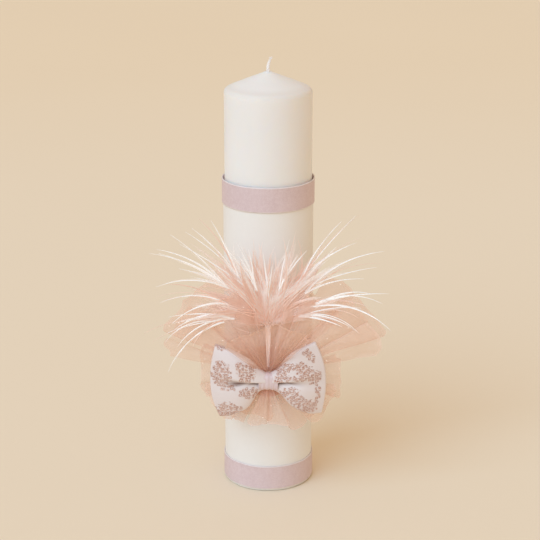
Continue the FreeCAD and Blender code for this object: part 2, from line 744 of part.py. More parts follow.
def build():
    fill_sheet()
    made = [
        candle_body(),
        wick(),
        wick_sustainer(),
        body_wrap(),
        ribbon("upper_ribbon", "<upper_ribbon_lift>"),
        ribbon("base_ribbon", "<base_ribbon_lift>"),
        ribbon_tape("upper_ribbon_tape", "<upper_ribbon_lift>"),
        ribbon_tape("base_ribbon_tape", "<base_ribbon_lift>"),
        curved_disc("rosette_glue_pad", WRAP_RADIUS, GLUE_RADIUS, "<glue_diameter>"),
        curved_disc("rosette_felt", GLUE_RADIUS, FELT_RADIUS, "<felt_diameter>"),
        tulle_gather(),
        gather_thread(),
        *(tulle_petal(label, row[0]) for label, row in zip(petal_labels(), PETALS)),
        feather_quills(),
        *(feather(label, number % 2) for number, label in enumerate(feather_labels())),
        *bow_loop("left", "-1"),
        *bow_loop("right", "1"),
        bow_waist_binding(),
        bow_knot(),
        bow_glue_pad(),
    ]
    doc.recompute()
    return made


def check(made):
    for thing in doc.Objects:
        if "Invalid" in thing.State or "Error" in thing.State:
            raise RuntimeError(f"{thing.Label} failed: {thing.State}")
    for thing in made:
        shape = thing.Shape
        if shape.isNull() or not shape.isValid() or not shape.Solids:
            raise RuntimeError(f"{thing.Label} has no valid solid")


def write(made):
    os.makedirs("parts", exist_ok=True)
    for thing in made:
        thing.Shape.exportStep(os.path.join("parts", f"{thing.Label}.step"))
        print(f"{thing.Label}: {thing.Shape.Volume:.1f} mm3, {len(thing.Shape.Solids)} solid")


sub_parts = build()
check(sub_parts)
write(sub_parts)
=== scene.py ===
import math
import random

import bmesh
import bpy
import numpy as np
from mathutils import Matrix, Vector, noise


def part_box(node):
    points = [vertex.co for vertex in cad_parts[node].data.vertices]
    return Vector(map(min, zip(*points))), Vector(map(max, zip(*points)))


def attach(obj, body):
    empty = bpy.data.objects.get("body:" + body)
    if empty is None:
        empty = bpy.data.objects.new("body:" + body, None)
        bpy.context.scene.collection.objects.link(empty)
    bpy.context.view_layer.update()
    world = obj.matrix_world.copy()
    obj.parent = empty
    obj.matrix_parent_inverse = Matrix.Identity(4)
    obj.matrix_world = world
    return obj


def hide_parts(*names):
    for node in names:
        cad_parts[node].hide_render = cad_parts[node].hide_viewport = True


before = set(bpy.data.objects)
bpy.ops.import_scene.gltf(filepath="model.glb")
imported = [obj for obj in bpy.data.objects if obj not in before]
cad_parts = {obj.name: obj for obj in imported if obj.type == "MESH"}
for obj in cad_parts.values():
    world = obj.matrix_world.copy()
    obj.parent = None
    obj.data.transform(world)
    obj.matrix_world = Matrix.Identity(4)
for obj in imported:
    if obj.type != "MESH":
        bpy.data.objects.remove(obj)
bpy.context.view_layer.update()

mm = 0.001
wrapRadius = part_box("body_wrap")[1].x
knotLow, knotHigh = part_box("bow_knot")
rosetteUp = (knotLow.z + knotHigh.z) / 2


def onRosette(u, v, depth):
    # across, up and out from the wrap's front, in millimetres about the bow's middle
    return (u * mm, -wrapRadius - depth * mm, rosetteUp + v * mm)


def eased(x, places, values):
    # a smooth curve through a few chosen values
    places, values = np.array(places, float), np.array(values, float)
    slopes = np.gradient(values, places)
    i = int(np.clip(np.searchsorted(places, x) - 1, 0, len(places) - 2))
    span = places[i + 1] - places[i]
    t = min(max((x - places[i]) / span, 0.0), 1.0)
    stay = (1 + 2 * t) * (1 - t) ** 2
    rise = t * (1 - t) ** 2
    fall = t * t * (t - 1)
    return (
        stay * values[i]
        + (1 - stay) * values[i + 1]
        + span * (rise * slopes[i] + fall * slopes[i + 1])
    )


def smooth(low, high, x):
    t = min(max((x - low) / (high - low), 0.0), 1.0)
    return t * t * (3 - 2 * t)


def along(line, t):
    # the point a share t of the way along a line of points
    x = t * (len(line) - 1)
    k = min(int(x), len(line) - 2)
    return line[k].lerp(line[k + 1], x - k)


def paint(red, green, blue):
    # a colour given as 0 to 255, made linear
    def linear(c):
        c = c / 255
        return c / 12.92 if c <= 0.04045 else ((c + 0.055) / 1.055) ** 2.4

    return (linear(red), linear(green), linear(blue), 1.0)


def addPiece(name, mesh, materials, replaces=()):
    piece = bpy.data.objects.new(name, mesh)
    bpy.context.scene.collection.objects.link(piece)
    if not mesh.materials:
        for material in materials:
            mesh.materials.append(material)
    for polygon in mesh.polygons:
        polygon.use_smooth = True
    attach(piece, "root")
    if replaces:
        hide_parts(*replaces)
    return piece


def gridMesh(name, rows, columns, place, flat=None, marks=None, merge=None, ends=()):
    # place(i, j) gives a point in metres, flat(i, j) its place on the flat cloth,
    # marks a number at each point for the material, and ends the rows to close with a face
    mesh = bpy.data.meshes.new(name)
    points = [place(i, j) for i in range(rows) for j in range(columns)]
    faces = [
        (i * columns + j, i * columns + j + 1, (i + 1) * columns + j + 1, (i + 1) * columns + j)
        for i in range(rows - 1)
        for j in range(columns - 1)
    ]
    faces += [[i * columns + j for j in range(columns - 1)] for i in ends]
    mesh.from_pydata(points, [], faces)
    if flat:
        layer = mesh.uv_layers.new(name="flat")
        uvs = [flat(i, j) for i in range(rows) for j in range(columns)]
        for loop in mesh.loops:
            layer.data[loop.index].uv = uvs[loop.vertex_index]
    for label, mark in (marks or {}).items():
        values = [mark(i, j) for i in range(rows) for j in range(columns)]
        mesh.attributes.new(label, "FLOAT", "POINT").data.foreach_set("value", values)
    if merge:
        shell = bmesh.new()
        shell.from_mesh(mesh)
        bmesh.ops.remove_doubles(shell, verts=shell.verts, dist=merge)
        bmesh.ops.recalc_face_normals(shell, faces=shell.faces)
        shell.to_mesh(mesh)
        shell.free()
    mesh.update()
    return mesh


def latheMesh(name, profile, segments=128, ripple=None):
    # profile is (radius, height) from the base's middle round to the top's middle
    def place(i, j):
        radius, height = profile[i]
        turn = 2 * math.pi * j / segments
        if ripple:
            radius *= 1 + ripple(turn, height)
        return (radius * math.sin(turn), -radius * math.cos(turn), height)

    return gridMesh(name, len(profile), segments + 1, place, merge=1e-6)


def refine(piece, levels):
    modifier = piece.modifiers.new("finer", "SUBSURF")
    modifier.levels = levels
    modifier.render_levels = levels


class Wire:
    # one output socket; sums and products of wires add Math nodes
    def __init__(self, net, socket):
        self.net = net
        self.socket = socket

    def maths(self, operation, first, second=0.0):
        return self.net.add("ShaderNodeMath", {"operation": operation}, {0: first, 1: second})

    def __add__(self, other):
        return self.maths("ADD", self, other)

    def __sub__(self, other):
        return self.maths("SUBTRACT", self, other)

    def __mul__(self, other):
        return self.maths("MULTIPLY", self, other)

    def __truediv__(self, other):
        return self.maths("DIVIDE", self, other)

    def __radd__(self, other):
        return self.maths("ADD", other, self)

    def __rsub__(self, other):
        return self.maths("SUBTRACT", other, self)

    def __rmul__(self, other):
        return self.maths("MULTIPLY", other, self)

    def __pow__(self, other):
        return self.maths("POWER", self, other)

    def __gt__(self, other):
        return self.maths("GREATER_THAN", self, other)

    def sine(self):
        return self.maths("SINE", self)

    def size(self):
        return self.maths("ABSOLUTE", self)

    def most(self, other):
        return self.maths("MAXIMUM", self, other)

    def least(self, other):
        return self.maths("MINIMUM", self, other)

    def output(self, key):
        return Wire(self.net, self.socket.node.outputs[key])


class Net:
    # a node tree; add() makes any node from its type, settings and socket values
    def __init__(self, tree):
        self.tree = tree

    def add(self, kind, settings=None, sockets=None, out=0):
        node = self.tree.nodes.new(kind)
        for key, value in (settings or {}).items():
            if key == "stops":
                ramp = node.color_ramp
                while len(ramp.elements) < len(value):
                    ramp.elements.new(0.5)
                for element, (place, colour) in zip(ramp.elements, value):
                    element.position = place
                    element.color = colour
            else:
                setattr(node, key, value)
        for key, value in (sockets or {}).items():
            if isinstance(value, Wire):
                self.tree.links.new(value.socket, node.inputs[key])
            else:
                node.inputs[key].default_value = value
        return Wire(self, node.outputs[out]) if node.outputs else None

    def vectorMaths(self, operation, first, second):
        return self.add("ShaderNodeVectorMath", {"operation": operation}, {0: first, 1: second})

    def blend(self, factor, first, second):
        settings = {"data_type": "RGBA", "clamp_factor": True}
        return self.add("ShaderNodeMix", settings, {0: factor, 6: first, 7: second}, 2)

    def place(self):
        return self.add("ShaderNodeTexCoord", out="Object")

    def flat(self):
        return self.add("ShaderNodeUVMap", {"uv_map": "flat"})

    def parts(self, vector):
        split = self.add("ShaderNodeSeparateXYZ", None, {0: vector})
        return split, split.output(1), split.output(2)

    def mark(self, name):
        return self.add("ShaderNodeAttribute", {"attribute_name": name}, out="Fac")

    def noise(self, vector, scale, detail=2.0, roughness=0.5):
        sockets = {"Vector": vector, "Scale": scale, "Detail": detail, "Roughness": roughness}
        return self.add("ShaderNodeTexNoise", None, sockets)

    def ease(self, value, low, high, start=0.0, end=1.0):
        sockets = {0: value, 1: low, 2: high, 3: start, 4: end}
        return self.add("ShaderNodeMapRange", {"interpolation_type": "SMOOTHSTEP"}, sockets)

    def bump(self, height, distance, strength=1.0):
        sockets = {"Height": height, "Distance": distance, "Strength": strength}
        return self.add("ShaderNodeBump", None, sockets)


def makeFinish(name, recipe):
    # recipe(net) gives the values and wires of a Principled shader
    material = bpy.data.materials.new(name)
    material.use_nodes = True
    material.node_tree.nodes.clear()
    net = Net(material.node_tree)
    shader = net.add("ShaderNodeBsdfPrincipled", None, recipe(net))
    net.add("ShaderNodeOutputMaterial", None, {"Surface": shader})
    return material


def geometryTree(name, inputs):
    # a Geometry Nodes tree with named inputs; gives the net, the wires in, and their identifiers
    tree = bpy.data.node_groups.new(name, "GeometryNodeTree")
    tree.interface.new_socket("Shape", in_out="INPUT", socket_type="NodeSocketGeometry")
    tree.interface.new_socket("Shape", in_out="OUTPUT", socket_type="NodeSocketGeometry")
    keys = {}
    for label, kind in inputs.items():
        socket = tree.interface.new_socket(label, in_out="INPUT", socket_type="NodeSocket" + kind)
        keys[label] = socket.identifier
    net = Net(tree)
    entry = net.add("NodeGroupInput")
    wires = {label: entry.output(label) for label in ("Shape", *inputs)}
    return net, wires, keys


def closeTree(net, shape, material):
    solid = net.add("GeometryNodeRealizeInstances", None, {0: shape})
    done = net.add("GeometryNodeSetMaterial", None, {"Geometry": solid, "Material": material})
    net.add("NodeGroupOutput", None, {0: done})


def grow(name, mesh, tree, keys, values):
    # runs a tree on a mesh and gives the plain mesh it makes
    seed = bpy.data.objects.new(name + "Seed", mesh)
    bpy.context.scene.collection.objects.link(seed)
    modifier = seed.modifiers.new("grow", "NODES")
    modifier.node_group = tree
    for label, value in values.items():
        modifier[keys[label]] = value
    graph = bpy.context.evaluated_depsgraph_get()
    grown = bpy.data.meshes.new_from_object(seed.evaluated_get(graph))
    grown.name = name
    bpy.data.objects.remove(seed)
    return grown


pillar = {
    "radius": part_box("candle_body")[1].x,
    "height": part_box("candle_body")[1].z,
    "shoulder": 13.5 * mm,
    "round": 4.6 * mm,
    "foot": 0.9 * mm,
    "tab": 10 * mm,
    "tabDepth": 0.4 * mm,
}


def waxRecipe(net):
    place = net.place()
    cloud = net.noise(place, 28.0, 3.0)
    grain = net.noise(place, 900.0, 2.0)
    _, _, height = net.parts(place)
    turned = (height - (pillar["height"] - pillar["shoulder"])).size()   # how far from the rounded shoulder, where the wax gets painted shade
    colour = net.blend(cloud, paint(239, 236, 232), paint(245, 242, 239))
    # painted shade: the wax is a little darker along the rounded shoulder, to tone down the key light's
    # bright rim
    colour = net.blend(net.ease(turned, 0.8 * mm, 4.0 * mm, 1.0, 0.0), colour, paint(235, 230, 225))
    return {
        "Base Color": colour,
        "Roughness": 0.5 + cloud * 0.14,
        "Subsurface Weight": 0.6,
        "Subsurface Radius": (1.0, 0.85, 0.7),
        "Subsurface Scale": 0.007,
        "Specular IOR Level": 0.36,
        "Normal": net.bump(cloud * 0.8 + grain * 0.12, 0.0004, 0.5),
    }


def wrapRecipe(net):
    across, up, _ = net.parts(net.flat())
    thread = (across * 9000.0).sine().size() + (up * 9000.0).sine().size()
    slub = net.noise(net.place(), 240.0, 3.0)
    cloud = net.noise(net.place(), 22.0, 2.0)
    colour = net.blend(cloud, paint(240, 236, 230), paint(246, 243, 238))
    return {
        "Base Color": net.blend(slub * 0.12, colour, paint(228, 220, 210)),
        "Roughness": 0.72 + slub * 0.1,
        "Specular IOR Level": 0.3,
        "Normal": net.bump(thread * 0.35 + slub, 0.00012, 0.5),
    }


def satinRecipe(net):
    # crosswise ribs, and a raised hem along both edges with a painted highlight
    along, across, _ = net.parts(net.flat())
    rib = (along * 7400.0).sine()
    slub = net.noise(net.place(), 320.0, 3.0)
    grain = net.ease(net.noise(net.place(), 1100.0, 1.0), 0.4, 0.62)
    edge = (across - 0.5).size()
    hem = net.ease(edge, 0.458, 0.474)
    cloud = net.noise(net.place(), 60.0, 2.0)
    body = net.blend(cloud, paint(222, 201, 202), paint(229, 209, 210))
    body = net.blend(grain * 0.2, body, paint(247, 234, 234))
    # painted highlight: both hems are made lighter, as where light catches the raised edge
    hemHighlighted = net.blend(hem * 0.8, body, paint(249, 242, 240))
    return {
        "Base Color": net.blend(rib * 0.06 + slub * 0.3, hemHighlighted, paint(184, 146, 144)),
        "Roughness": 0.4 + slub * 0.2,
        "Specular IOR Level": 0.5,
        "Normal": net.bump(rib * 0.4 + slub * 0.5 + hem * 2.0, 0.00012, 0.7),
    }


def knotRecipe(net):
    along, _, _ = net.parts(net.flat())
    rib = (along * 9000.0).sine()
    # painted light and shade: the satin is made lighter and darker in streaks along its fine folds, which the
    # same noise raises in the bump
    fold = net.noise(net.vectorMaths("MULTIPLY", net.flat(), (900.0, 90.0, 1.0)), 1.0, 2.0)
    colour = net.blend(fold, paint(210, 186, 187), paint(238, 221, 221))
    return {
        "Base Color": colour,
        "Roughness": 0.24 + fold * 0.16,
        "Sheen Weight": 0.05,
        "Anisotropic": 0.5,
        "Normal": net.bump(rib * 0.1 + fold * 1.5, 0.00025, 0.6),
    }


tulleLook = {
    "blush": paint(231, 187, 163),
    # deep: painted shade colour, near the neck and in the valleys
    "deep": paint(208, 152, 129),
    # line: painted highlight colour for turns and cut edges, also used for random lighter patches
    "line": paint(246, 220, 203),
    "cover": 0.33,   # how much a single layer hides
    "glow": 0.10,    # painted glow, standing in for light that comes through from behind
}


def tulleRecipe(net):
    # an open net, denser where it turns over on itself, with a painted highlight along those turns and
    # painted shade towards the neck and in the valleys
    across, along, _ = net.parts(net.flat())
    crease = net.mark("crease")
    neck = net.mark("neck")
    valley = net.mark("valley")
    first = (across * 4600.0 + along * 2600.0).sine().size()
    second = (across * 4600.0 - along * 2600.0).sine().size()
    mesh = net.ease(first.least(second), 0.08, 0.5, 1.0, 0.0)
    cloud = net.noise(net.place(), 90.0, 2.0)
    # painted shade: darker near the neck and in the fold valleys
    body = net.blend((neck * 0.7 + valley * 0.5).least(1.0), tulleLook["blush"], tulleLook["deep"])
    body = net.blend(cloud * 0.25, body, tulleLook["line"])
    # painted highlight along the turns and the cut rim
    body = net.blend(crease * 0.8, body, tulleLook["line"])
    hidden = tulleLook["cover"] + mesh * 0.12 + crease * 0.28 + neck * 0.2 + valley * 0.14
    return {
        "Base Color": body,
        "Emission Color": body,
        "Emission Strength": tulleLook["glow"],
        "Roughness": 0.78,
        "Sheen Weight": 0.15,
        "Specular IOR Level": 0.2,
        "Alpha": hidden.least(1.0),
        "Normal": net.bump(mesh, 0.0001, 0.4),
    }


def featherRecipe(net):
    # tint runs from 0, white, to 1, blush
    tint = net.mark("tint")
    streak = net.noise(net.vectorMaths("MULTIPLY", net.place(), (900.0, 900.0, 160.0)), 1.0, 2.0)
    blush = net.blend(streak, paint(229, 184, 161), paint(245, 213, 194))
    white = net.blend(streak, paint(250, 244, 240), paint(255, 253, 251))
    colour = net.blend(tint, white, blush)
    return {
        "Base Color": colour,
        "Emission Color": colour,
        "Emission Strength": 0.2,   # painted glow, standing in for light that passes through fine barbs
        "Roughness": 0.62 + streak * 0.2,
        "Sheen Weight": 0.3,
        "Specular IOR Level": 0.3,
        "Normal": net.bump(streak, 0.00008, 0.4),
    }


brocadeLook = {
    "ground": (paint(232, 219, 216), paint(240, 230, 228)),
    "metal": (paint(180, 120, 98), paint(242, 206, 188)),
    # each spray: middle across and up, half width and half height, in millimetres
    "sprays": (
        (-37, 8, 8, 10), (-31, -2, 6, 3), (-16, 9, 6, 8), (-22.5, 14, 2.5, 5.5),
        (-15, -8, 7, 4.5), (-31, -22, 9, 6.5), (-37, -28, 5, 5), (-38, 32, 5, 4),
        (9, 3, 3, 5), (11, 12, 4, 5), (18, 15, 6, 3), (26, 14, 6, 4.5), (32, 10, 4, 6),
        (27, 5.5, 6, 2.5), (17, 5, 7, 2.5), (37, 5, 5, 6), (31, 25, 4, 3), (35, 21, 2.5, 3),
        (11, -10, 3.5, 4), (19, -6.5, 6, 3), (22, -13, 6, 5), (30, -20, 8.5, 8), (40, -8, 2, 6),
        (24, 36, 9, 4),
    ),
}


def brocadeRecipe(net):
    # woven sprays of little loops and leaf strokes on a satin ground
    flat = net.flat()
    across, up, _ = net.parts(flat)

    def inSprays(spot, stray):
        x, y, _ = net.parts(spot)
        cover = None
        for middle, height, halfWide, halfHigh in brocadeLook["sprays"]:
            wide = (x - middle * mm) / (halfWide * mm)
            high = (y - height * mm) / (halfHigh * mm)
            near = 1.0 - (wide * wide + high * high)
            cover = near if cover is None else cover.most(near)
        return net.ease(cover + stray, -0.12, 0.0)

    wander = net.noise(flat, 260.0, 1.0) * 0.0014
    curled = net.vectorMaths("ADD", flat, net.add("ShaderNodeCombineXYZ", None, {0: wander, 1: wander}))
    plane = {"feature": "F1", "voronoi_dimensions": "2D"}
    loops = net.add("ShaderNodeTexVoronoi", plane, {"Vector": curled, "Scale": 400.0, "Randomness": 0.7})
    chance, size, _ = net.parts(loops.output("Color"))
    inside = inSprays(loops.output("Position"), (chance - 0.5) * 0.9)
    ring = net.ease((loops - (0.2 + size * 0.18)).size(), 0.07, 0.14, 1.0, 0.0) * inside
    slanted = net.add(
        "ShaderNodeMapping", {"vector_type": "POINT"},
        {"Vector": curled, "Rotation": (0.0, 0.0, 0.9), "Scale": (300.0, 900.0, 1.0)},
    )
    strokes = net.add("ShaderNodeTexVoronoi", plane, {"Vector": slanted, "Scale": 1.0, "Randomness": 0.8})
    nearby = inSprays(flat, (net.noise(flat, 420.0, 1.0) - 0.5) * 2.4 - 0.12)
    leaf = net.ease(strokes, 0.2, 0.32, 1.0, 0.0) * nearby
    thread = ring.most(leaf * 0.85)
    glint = net.noise(flat, 1300.0, 1.0)
    weave = (across * 5200.0 + up * 5200.0).sine() * (across * 5200.0 - up * 5200.0).sine()
    sheen = net.noise(flat, 60.0, 2.0)
    ground = net.blend(sheen, *brocadeLook["ground"])
    metal = net.blend(net.ease(glint, 0.44, 0.6), *brocadeLook["metal"])
    ground = net.blend(net.ease(weave, -0.2, 0.8) * 0.14, ground, paint(190, 168, 166))
    ground = net.blend(inside * 0.22, ground, paint(224, 190, 178))
    woven = net.blend(thread, ground, metal)
    crease = net.mark("crease")
    return {
        # painted shade: the crease is darkened by its mark
        "Base Color": net.blend(crease * 0.95, woven, paint(104, 64, 54)),
        "Metallic": thread * 0.2,
        "Roughness": 0.5 - thread * 0.14 + weave * 0.03,
        "Sheen Weight": 0.1,
        "Normal": net.bump(thread * 1.6 + weave * 0.25, 0.00022, 0.8),
    }


def plainRecipe(first, second, rough, scale, depth, metallic):
    # a material that differs a little from place to place
    def recipe(net):
        cloud = net.noise(net.place(), scale, 3.0)
        return {
            "Base Color": net.blend(cloud, first, second),
            "Roughness": rough + cloud * 0.15,
            "Metallic": metallic,
            "Normal": net.bump(cloud, depth, 0.6),
        }

    return recipe


def glitterRecipe(net):
    shade = net.noise(net.place(), 3000.0, 1.0)
    return {
        "Base Color": net.blend(shade, paint(255, 244, 232), paint(255, 255, 252)),
        "Roughness": 0.25,
        "Metallic": 0.25,
        # painted glints: the flakes glow a little of their own
        "Emission Color": (1.0, 0.95, 0.9, 1.0),
        "Emission Strength": 0.35,
    }


finishes = {
    "wax": makeFinish("whiteWax", waxRecipe),
    "wrap_cloth": makeFinish("wrapCloth", wrapRecipe),
    "ribbon_satin": makeFinish("dustyPinkSatin", satinRecipe),
    "knot_satin": makeFinish("knotSatin", knotRecipe),
    "tulle": makeFinish("blushTulle", tulleRecipe),
    "feather": makeFinish("plumeDown", featherRecipe),
    "brocade": makeFinish("roseGoldBrocade", brocadeRecipe),
    "glitter": makeFinish("glitterFlake", glitterRecipe),
}
plainFinishes = {
    # name, two colours, roughness, grain, bump and metallic
    "wick_cotton": ("wickCotton", (246, 238, 232), (255, 252, 249), 0.75, 1400.0, 0.0001, 0.0),
    "tin": ("tinTab", (190, 190, 188), (214, 213, 210), 0.25, 180.0, 0.0001, 1.0),
    "tape": ("doubleTape", (226, 216, 190), (236, 228, 208), 0.3, 300.0, 0.00005, 0.0),
    "hot_melt": ("hotMelt", (232, 226, 208), (244, 240, 228), 0.22, 260.0, 0.0003, 0.0),
    "felt": ("pinkFelt", (206, 160, 142), (224, 184, 168), 0.85, 1100.0, 0.0004, 0.0),
    "thread": ("blushThread", (206, 164, 150), (226, 190, 178), 0.6, 1600.0, 0.0001, 0.0),
}
for slot, (name, first, second, *look) in plainFinishes.items():
    finishes[slot] = makeFinish(name, plainRecipe(paint(*first), paint(*second), *look))
print("finishes made:", len(finishes))

for node in ("wick_sustainer", "upper_ribbon_tape", "base_ribbon_tape", "rosette_glue_pad", "bow_glue_pad"):
    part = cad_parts[node]
    kind = {"wick_sustainer": "tin"}.get(node, "tape" if node.endswith("tape") else "hot_melt")
    part.data.materials.clear()
    part.data.materials.append(finishes[kind])


studio = {
    "cameraAt": (0.0014, -1.240, 0.587),
    "lookAt": (0.0014, 0.0, 0.181),
    "lens": 106.7,
    "floorFar": (paint(243, 225, 197), paint(246, 229, 202)),
    "floorNear": (paint(243, 229, 206), paint(246, 232, 210)),
    "floorSize": 7.0,
    "ambient": (1.0, 0.79, 0.585),
    "ambientStrength": 0.685,
    "key": {"from": (-0.574, -0.819, 0.80), "softness": 48, "strength": 1.85, "colour": (0.445, 0.715, 1.0)},
}


def aimed(thing, start, end):
    thing.location = start
    thing.rotation_mode = "QUATERNION"
    thing.rotation_quaternion = (Vector(end) - Vector(start)).to_track_quat("-Z", "Y")
    bpy.context.scene.collection.objects.link(thing)
    return thing


lens = bpy.data.cameras.new("camera")
lens.lens = studio["lens"]
lens.sensor_width = 36.0
lens.clip_start = 0.05
lens.clip_end = 40.0
bpy.context.scene.camera = aimed(
    bpy.data.objects.new("camera", lens), studio["cameraAt"], studio["lookAt"]
)
lamp = bpy.data.lights.new("key", "SUN")
lamp.angle = math.radians(studio["key"]["softness"])
lamp.energy = studio["key"]["strength"]
lamp.color = studio["key"]["colour"]
aimed(bpy.data.objects.new("key", lamp), studio["key"]["from"], (0.0, 0.0, 0.0))

world = bpy.data.worlds.new("studio")
world.use_nodes = True
world.node_tree.nodes["Background"].inputs[0].default_value = (*studio["ambient"], 1.0)
world.node_tree.nodes["Background"].inputs[1].default_value = studio["ambientStrength"]
bpy.context.scene.world = world
bpy.context.scene.view_settings.view_transform = "Standard"


def floorRecipe(net):
    cloud = net.noise(net.place(), 1.3, 2.0)
    grain = net.noise(net.place(), 700.0, 2.0)
    _, back, _ = net.parts(net.place())
    far = net.blend(cloud, *studio["floorFar"])
    near = net.blend(cloud, *studio["floorNear"])
    return {
        # painted light: the floor is lighter and less warm near the camera than far back
        "Base Color": net.blend(net.ease(back, 0.5, 2.1), near, far),
        "Roughness": 0.8,
        "Specular IOR Level": 0.15,
        "Normal": net.bump(grain, 0.0001, 0.2),
    }


def floorPlace(i, j):
    half = studio["floorSize"]
    return ((j / 8 - 0.5) * 2 * half, (i / 8 - 0.5) * 2 * half, 0.0)


floor = bpy.data.objects.new("paperFloor", gridMesh("paperFloor", 9, 9, floorPlace))
floor.data.materials.append(makeFinish("beigePaper", floorRecipe))
bpy.context.scene.collection.objects.link(floor)
print("stage set")


def pillarProfile():
    radius, top = pillar["radius"], pillar["height"]
    edge = top - pillar["shoulder"]
    turn = pillar["round"]
    profile = [(0.0, pillar["tabDepth"]), (pillar["tab"], pillar["tabDepth"]), (pillar["tab"], 0.0)]
    profile += [(radius * 0.6, 0.0), (radius - pillar["foot"], 0.0), (radius, pillar["foot"])]
    profile += [(radius, (edge - pillar["round"]) * k / 24) for k in range(1, 25)]
    slope = math.atan2(pillar["shoulder"], radius)
    for k in range(9):   # the rounded shoulder
        angle = k / 8 * (math.pi / 2 - slope)
        profile.append((radius - turn + turn * math.cos(angle), edge - turn * 0.72 + turn * math.sin(angle)))
    startRadius, startHeight = profile[-1]
    for k in range(1, 15):   # the cone, a little hollow towards its tip
        t = k / 15
        height = startHeight + (top - 1.2 * mm - startHeight) * (t + 0.04 * t * (1 - t))
        profile.append((startRadius + (4.6 * mm - startRadius) * t, height))
    profile += [
        (4.2 * mm, top - 1.03 * mm), (3.2 * mm, top - 0.5 * mm), (2.7 * mm, top - 0.1 * mm),
        (2.3 * mm, top), (1.95 * mm, top - 0.2 * mm), (1.7 * mm, top - 1.3 * mm), (0.0, top - 1.5 * mm),
    ]
    return profile


def pillarRipple(turn, height):
    # hand-poured wax is never quite round
    return 0.0012 * noise.noise(Vector((2 * math.cos(turn), 2 * math.sin(turn), height * 14)))


waxPillar = addPiece(
    "waxPillar", latheMesh("waxPillar", pillarProfile(), 160, pillarRipple),
    [finishes["wax"]], ["candle_body"],
)

wrap = {
    "inner": wrapRadius - 1.2 * mm,
    "low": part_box("body_wrap")[0].z,
    "top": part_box("body_wrap")[1].z,
    "gap": 0.5 * mm,     # the butt seam at the back
    "segments": 200,
}


def wrapMesh():
    # a section across the card's wall, swept round from seam to seam
    low, top, inner = wrap["low"], wrap["top"], wrap["inner"]
    rows = 40
    section = [(wrapRadius, low + (top - low) * (0.002 + 0.996 * k / rows)) for k in range(rows + 1)]
    section += [(wrapRadius - 0.35 * mm, top), (inner + 0.3 * mm, top), (inner, top - 0.4 * mm)]
    section += [(inner, low + 0.4 * mm), (inner + 0.3 * mm, low), (wrapRadius - 0.35 * mm, low), section[0]]
    lengths = [0.0]
    for (r0, z0), (r1, z1) in zip(section, section[1:]):
        lengths.append(lengths[-1] + math.hypot(r1 - r0, z1 - z0))
    half = wrap["gap"] / 2 / wrapRadius
    steps = wrap["segments"]

    def angle(i):
        return math.pi + half + (2 * math.pi - 2 * half) * i / steps

    def place(i, j):
        radius, height = section[j]
        turn = angle(i)
        wave = 0.10 * mm * noise.noise(Vector((3 * math.cos(turn), 3 * math.sin(turn), height * 30)))
        radius += wave if radius > inner + 0.5 * mm else 0
        return (radius * math.sin(turn), -radius * math.cos(turn), height)

    def flat(i, j):
        return (angle(i) * wrapRadius, lengths[j])

    return gridMesh("clothWrap", steps + 1, len(section), place, flat, merge=1e-7, ends=(0, steps))


clothWrap = addPiece("clothWrap", wrapMesh(), [finishes["wrap_cloth"]], ["body_wrap"])

ribbon = {
    "thickness": 0.7 * mm,
    "width": 20 * mm,
    "lap": 14 * mm,
    "start": math.radians(183),
    "segments": 220,
    "edgeWave": 0.16 * mm,
}


def ribbonMesh(name, low, seed):
    # a flat band with rolled hems, once round and over its own start
    width, thick = ribbon["width"], ribbon["thickness"]
    inner = wrapRadius + 0.25 * mm
    section = []
    across = 20
    for k in range(across + 1):
        share = k / across
        hem = 0.10 * mm if 0.03 < min(share, 1 - share) < 0.08 or share in (0.05, 0.95) else 0
        section.append((thick + hem, share))
    section += [(thick * 0.5, 1.006), (0.0, 1.0), (0.0, 0.5), (0.0, 0.0), (thick * 0.5, -0.006), section[0]]
    turnAll = 2 * math.pi + ribbon["lap"] / (wrapRadius + thick)
    steps = ribbon["segments"]

    def place(i, j):
        turn = ribbon["start"] + turnAll * i / steps
        lift = thick * 1.04 * smooth(steps * 2 * math.pi / turnAll - 5, steps * 2 * math.pi / turnAll - 1, i)
        offset, share = section[j]
        free = smooth(0.55, 1.0, share)
        wave = ribbon["edgeWave"] * noise.noise(Vector((5 * turn, seed, share * 1.5)))
        radius = inner + lift + offset + wave * (0.3 + free)
        height = low + width * share + 0.25 * mm * noise.noise(Vector((1.7 * turn, seed + 9, 0)))
        return (radius * math.sin(turn), -radius * math.cos(turn), height)

    def flat(i, j):
        return (turnAll * i / steps * wrapRadius, section[j][1])

    return gridMesh(name, steps + 1, len(section), place, flat, merge=1e-7, ends=(0, steps))


for name, node, seed in (("upperSatin", "upper_ribbon", 3), ("baseSatin", "base_ribbon", 8)):
    band = addPiece(
        name, ribbonMesh(name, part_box(node)[0].z, seed), [finishes["ribbon_satin"]], [node],
    )
print("pillar, wrap and ribbons made")


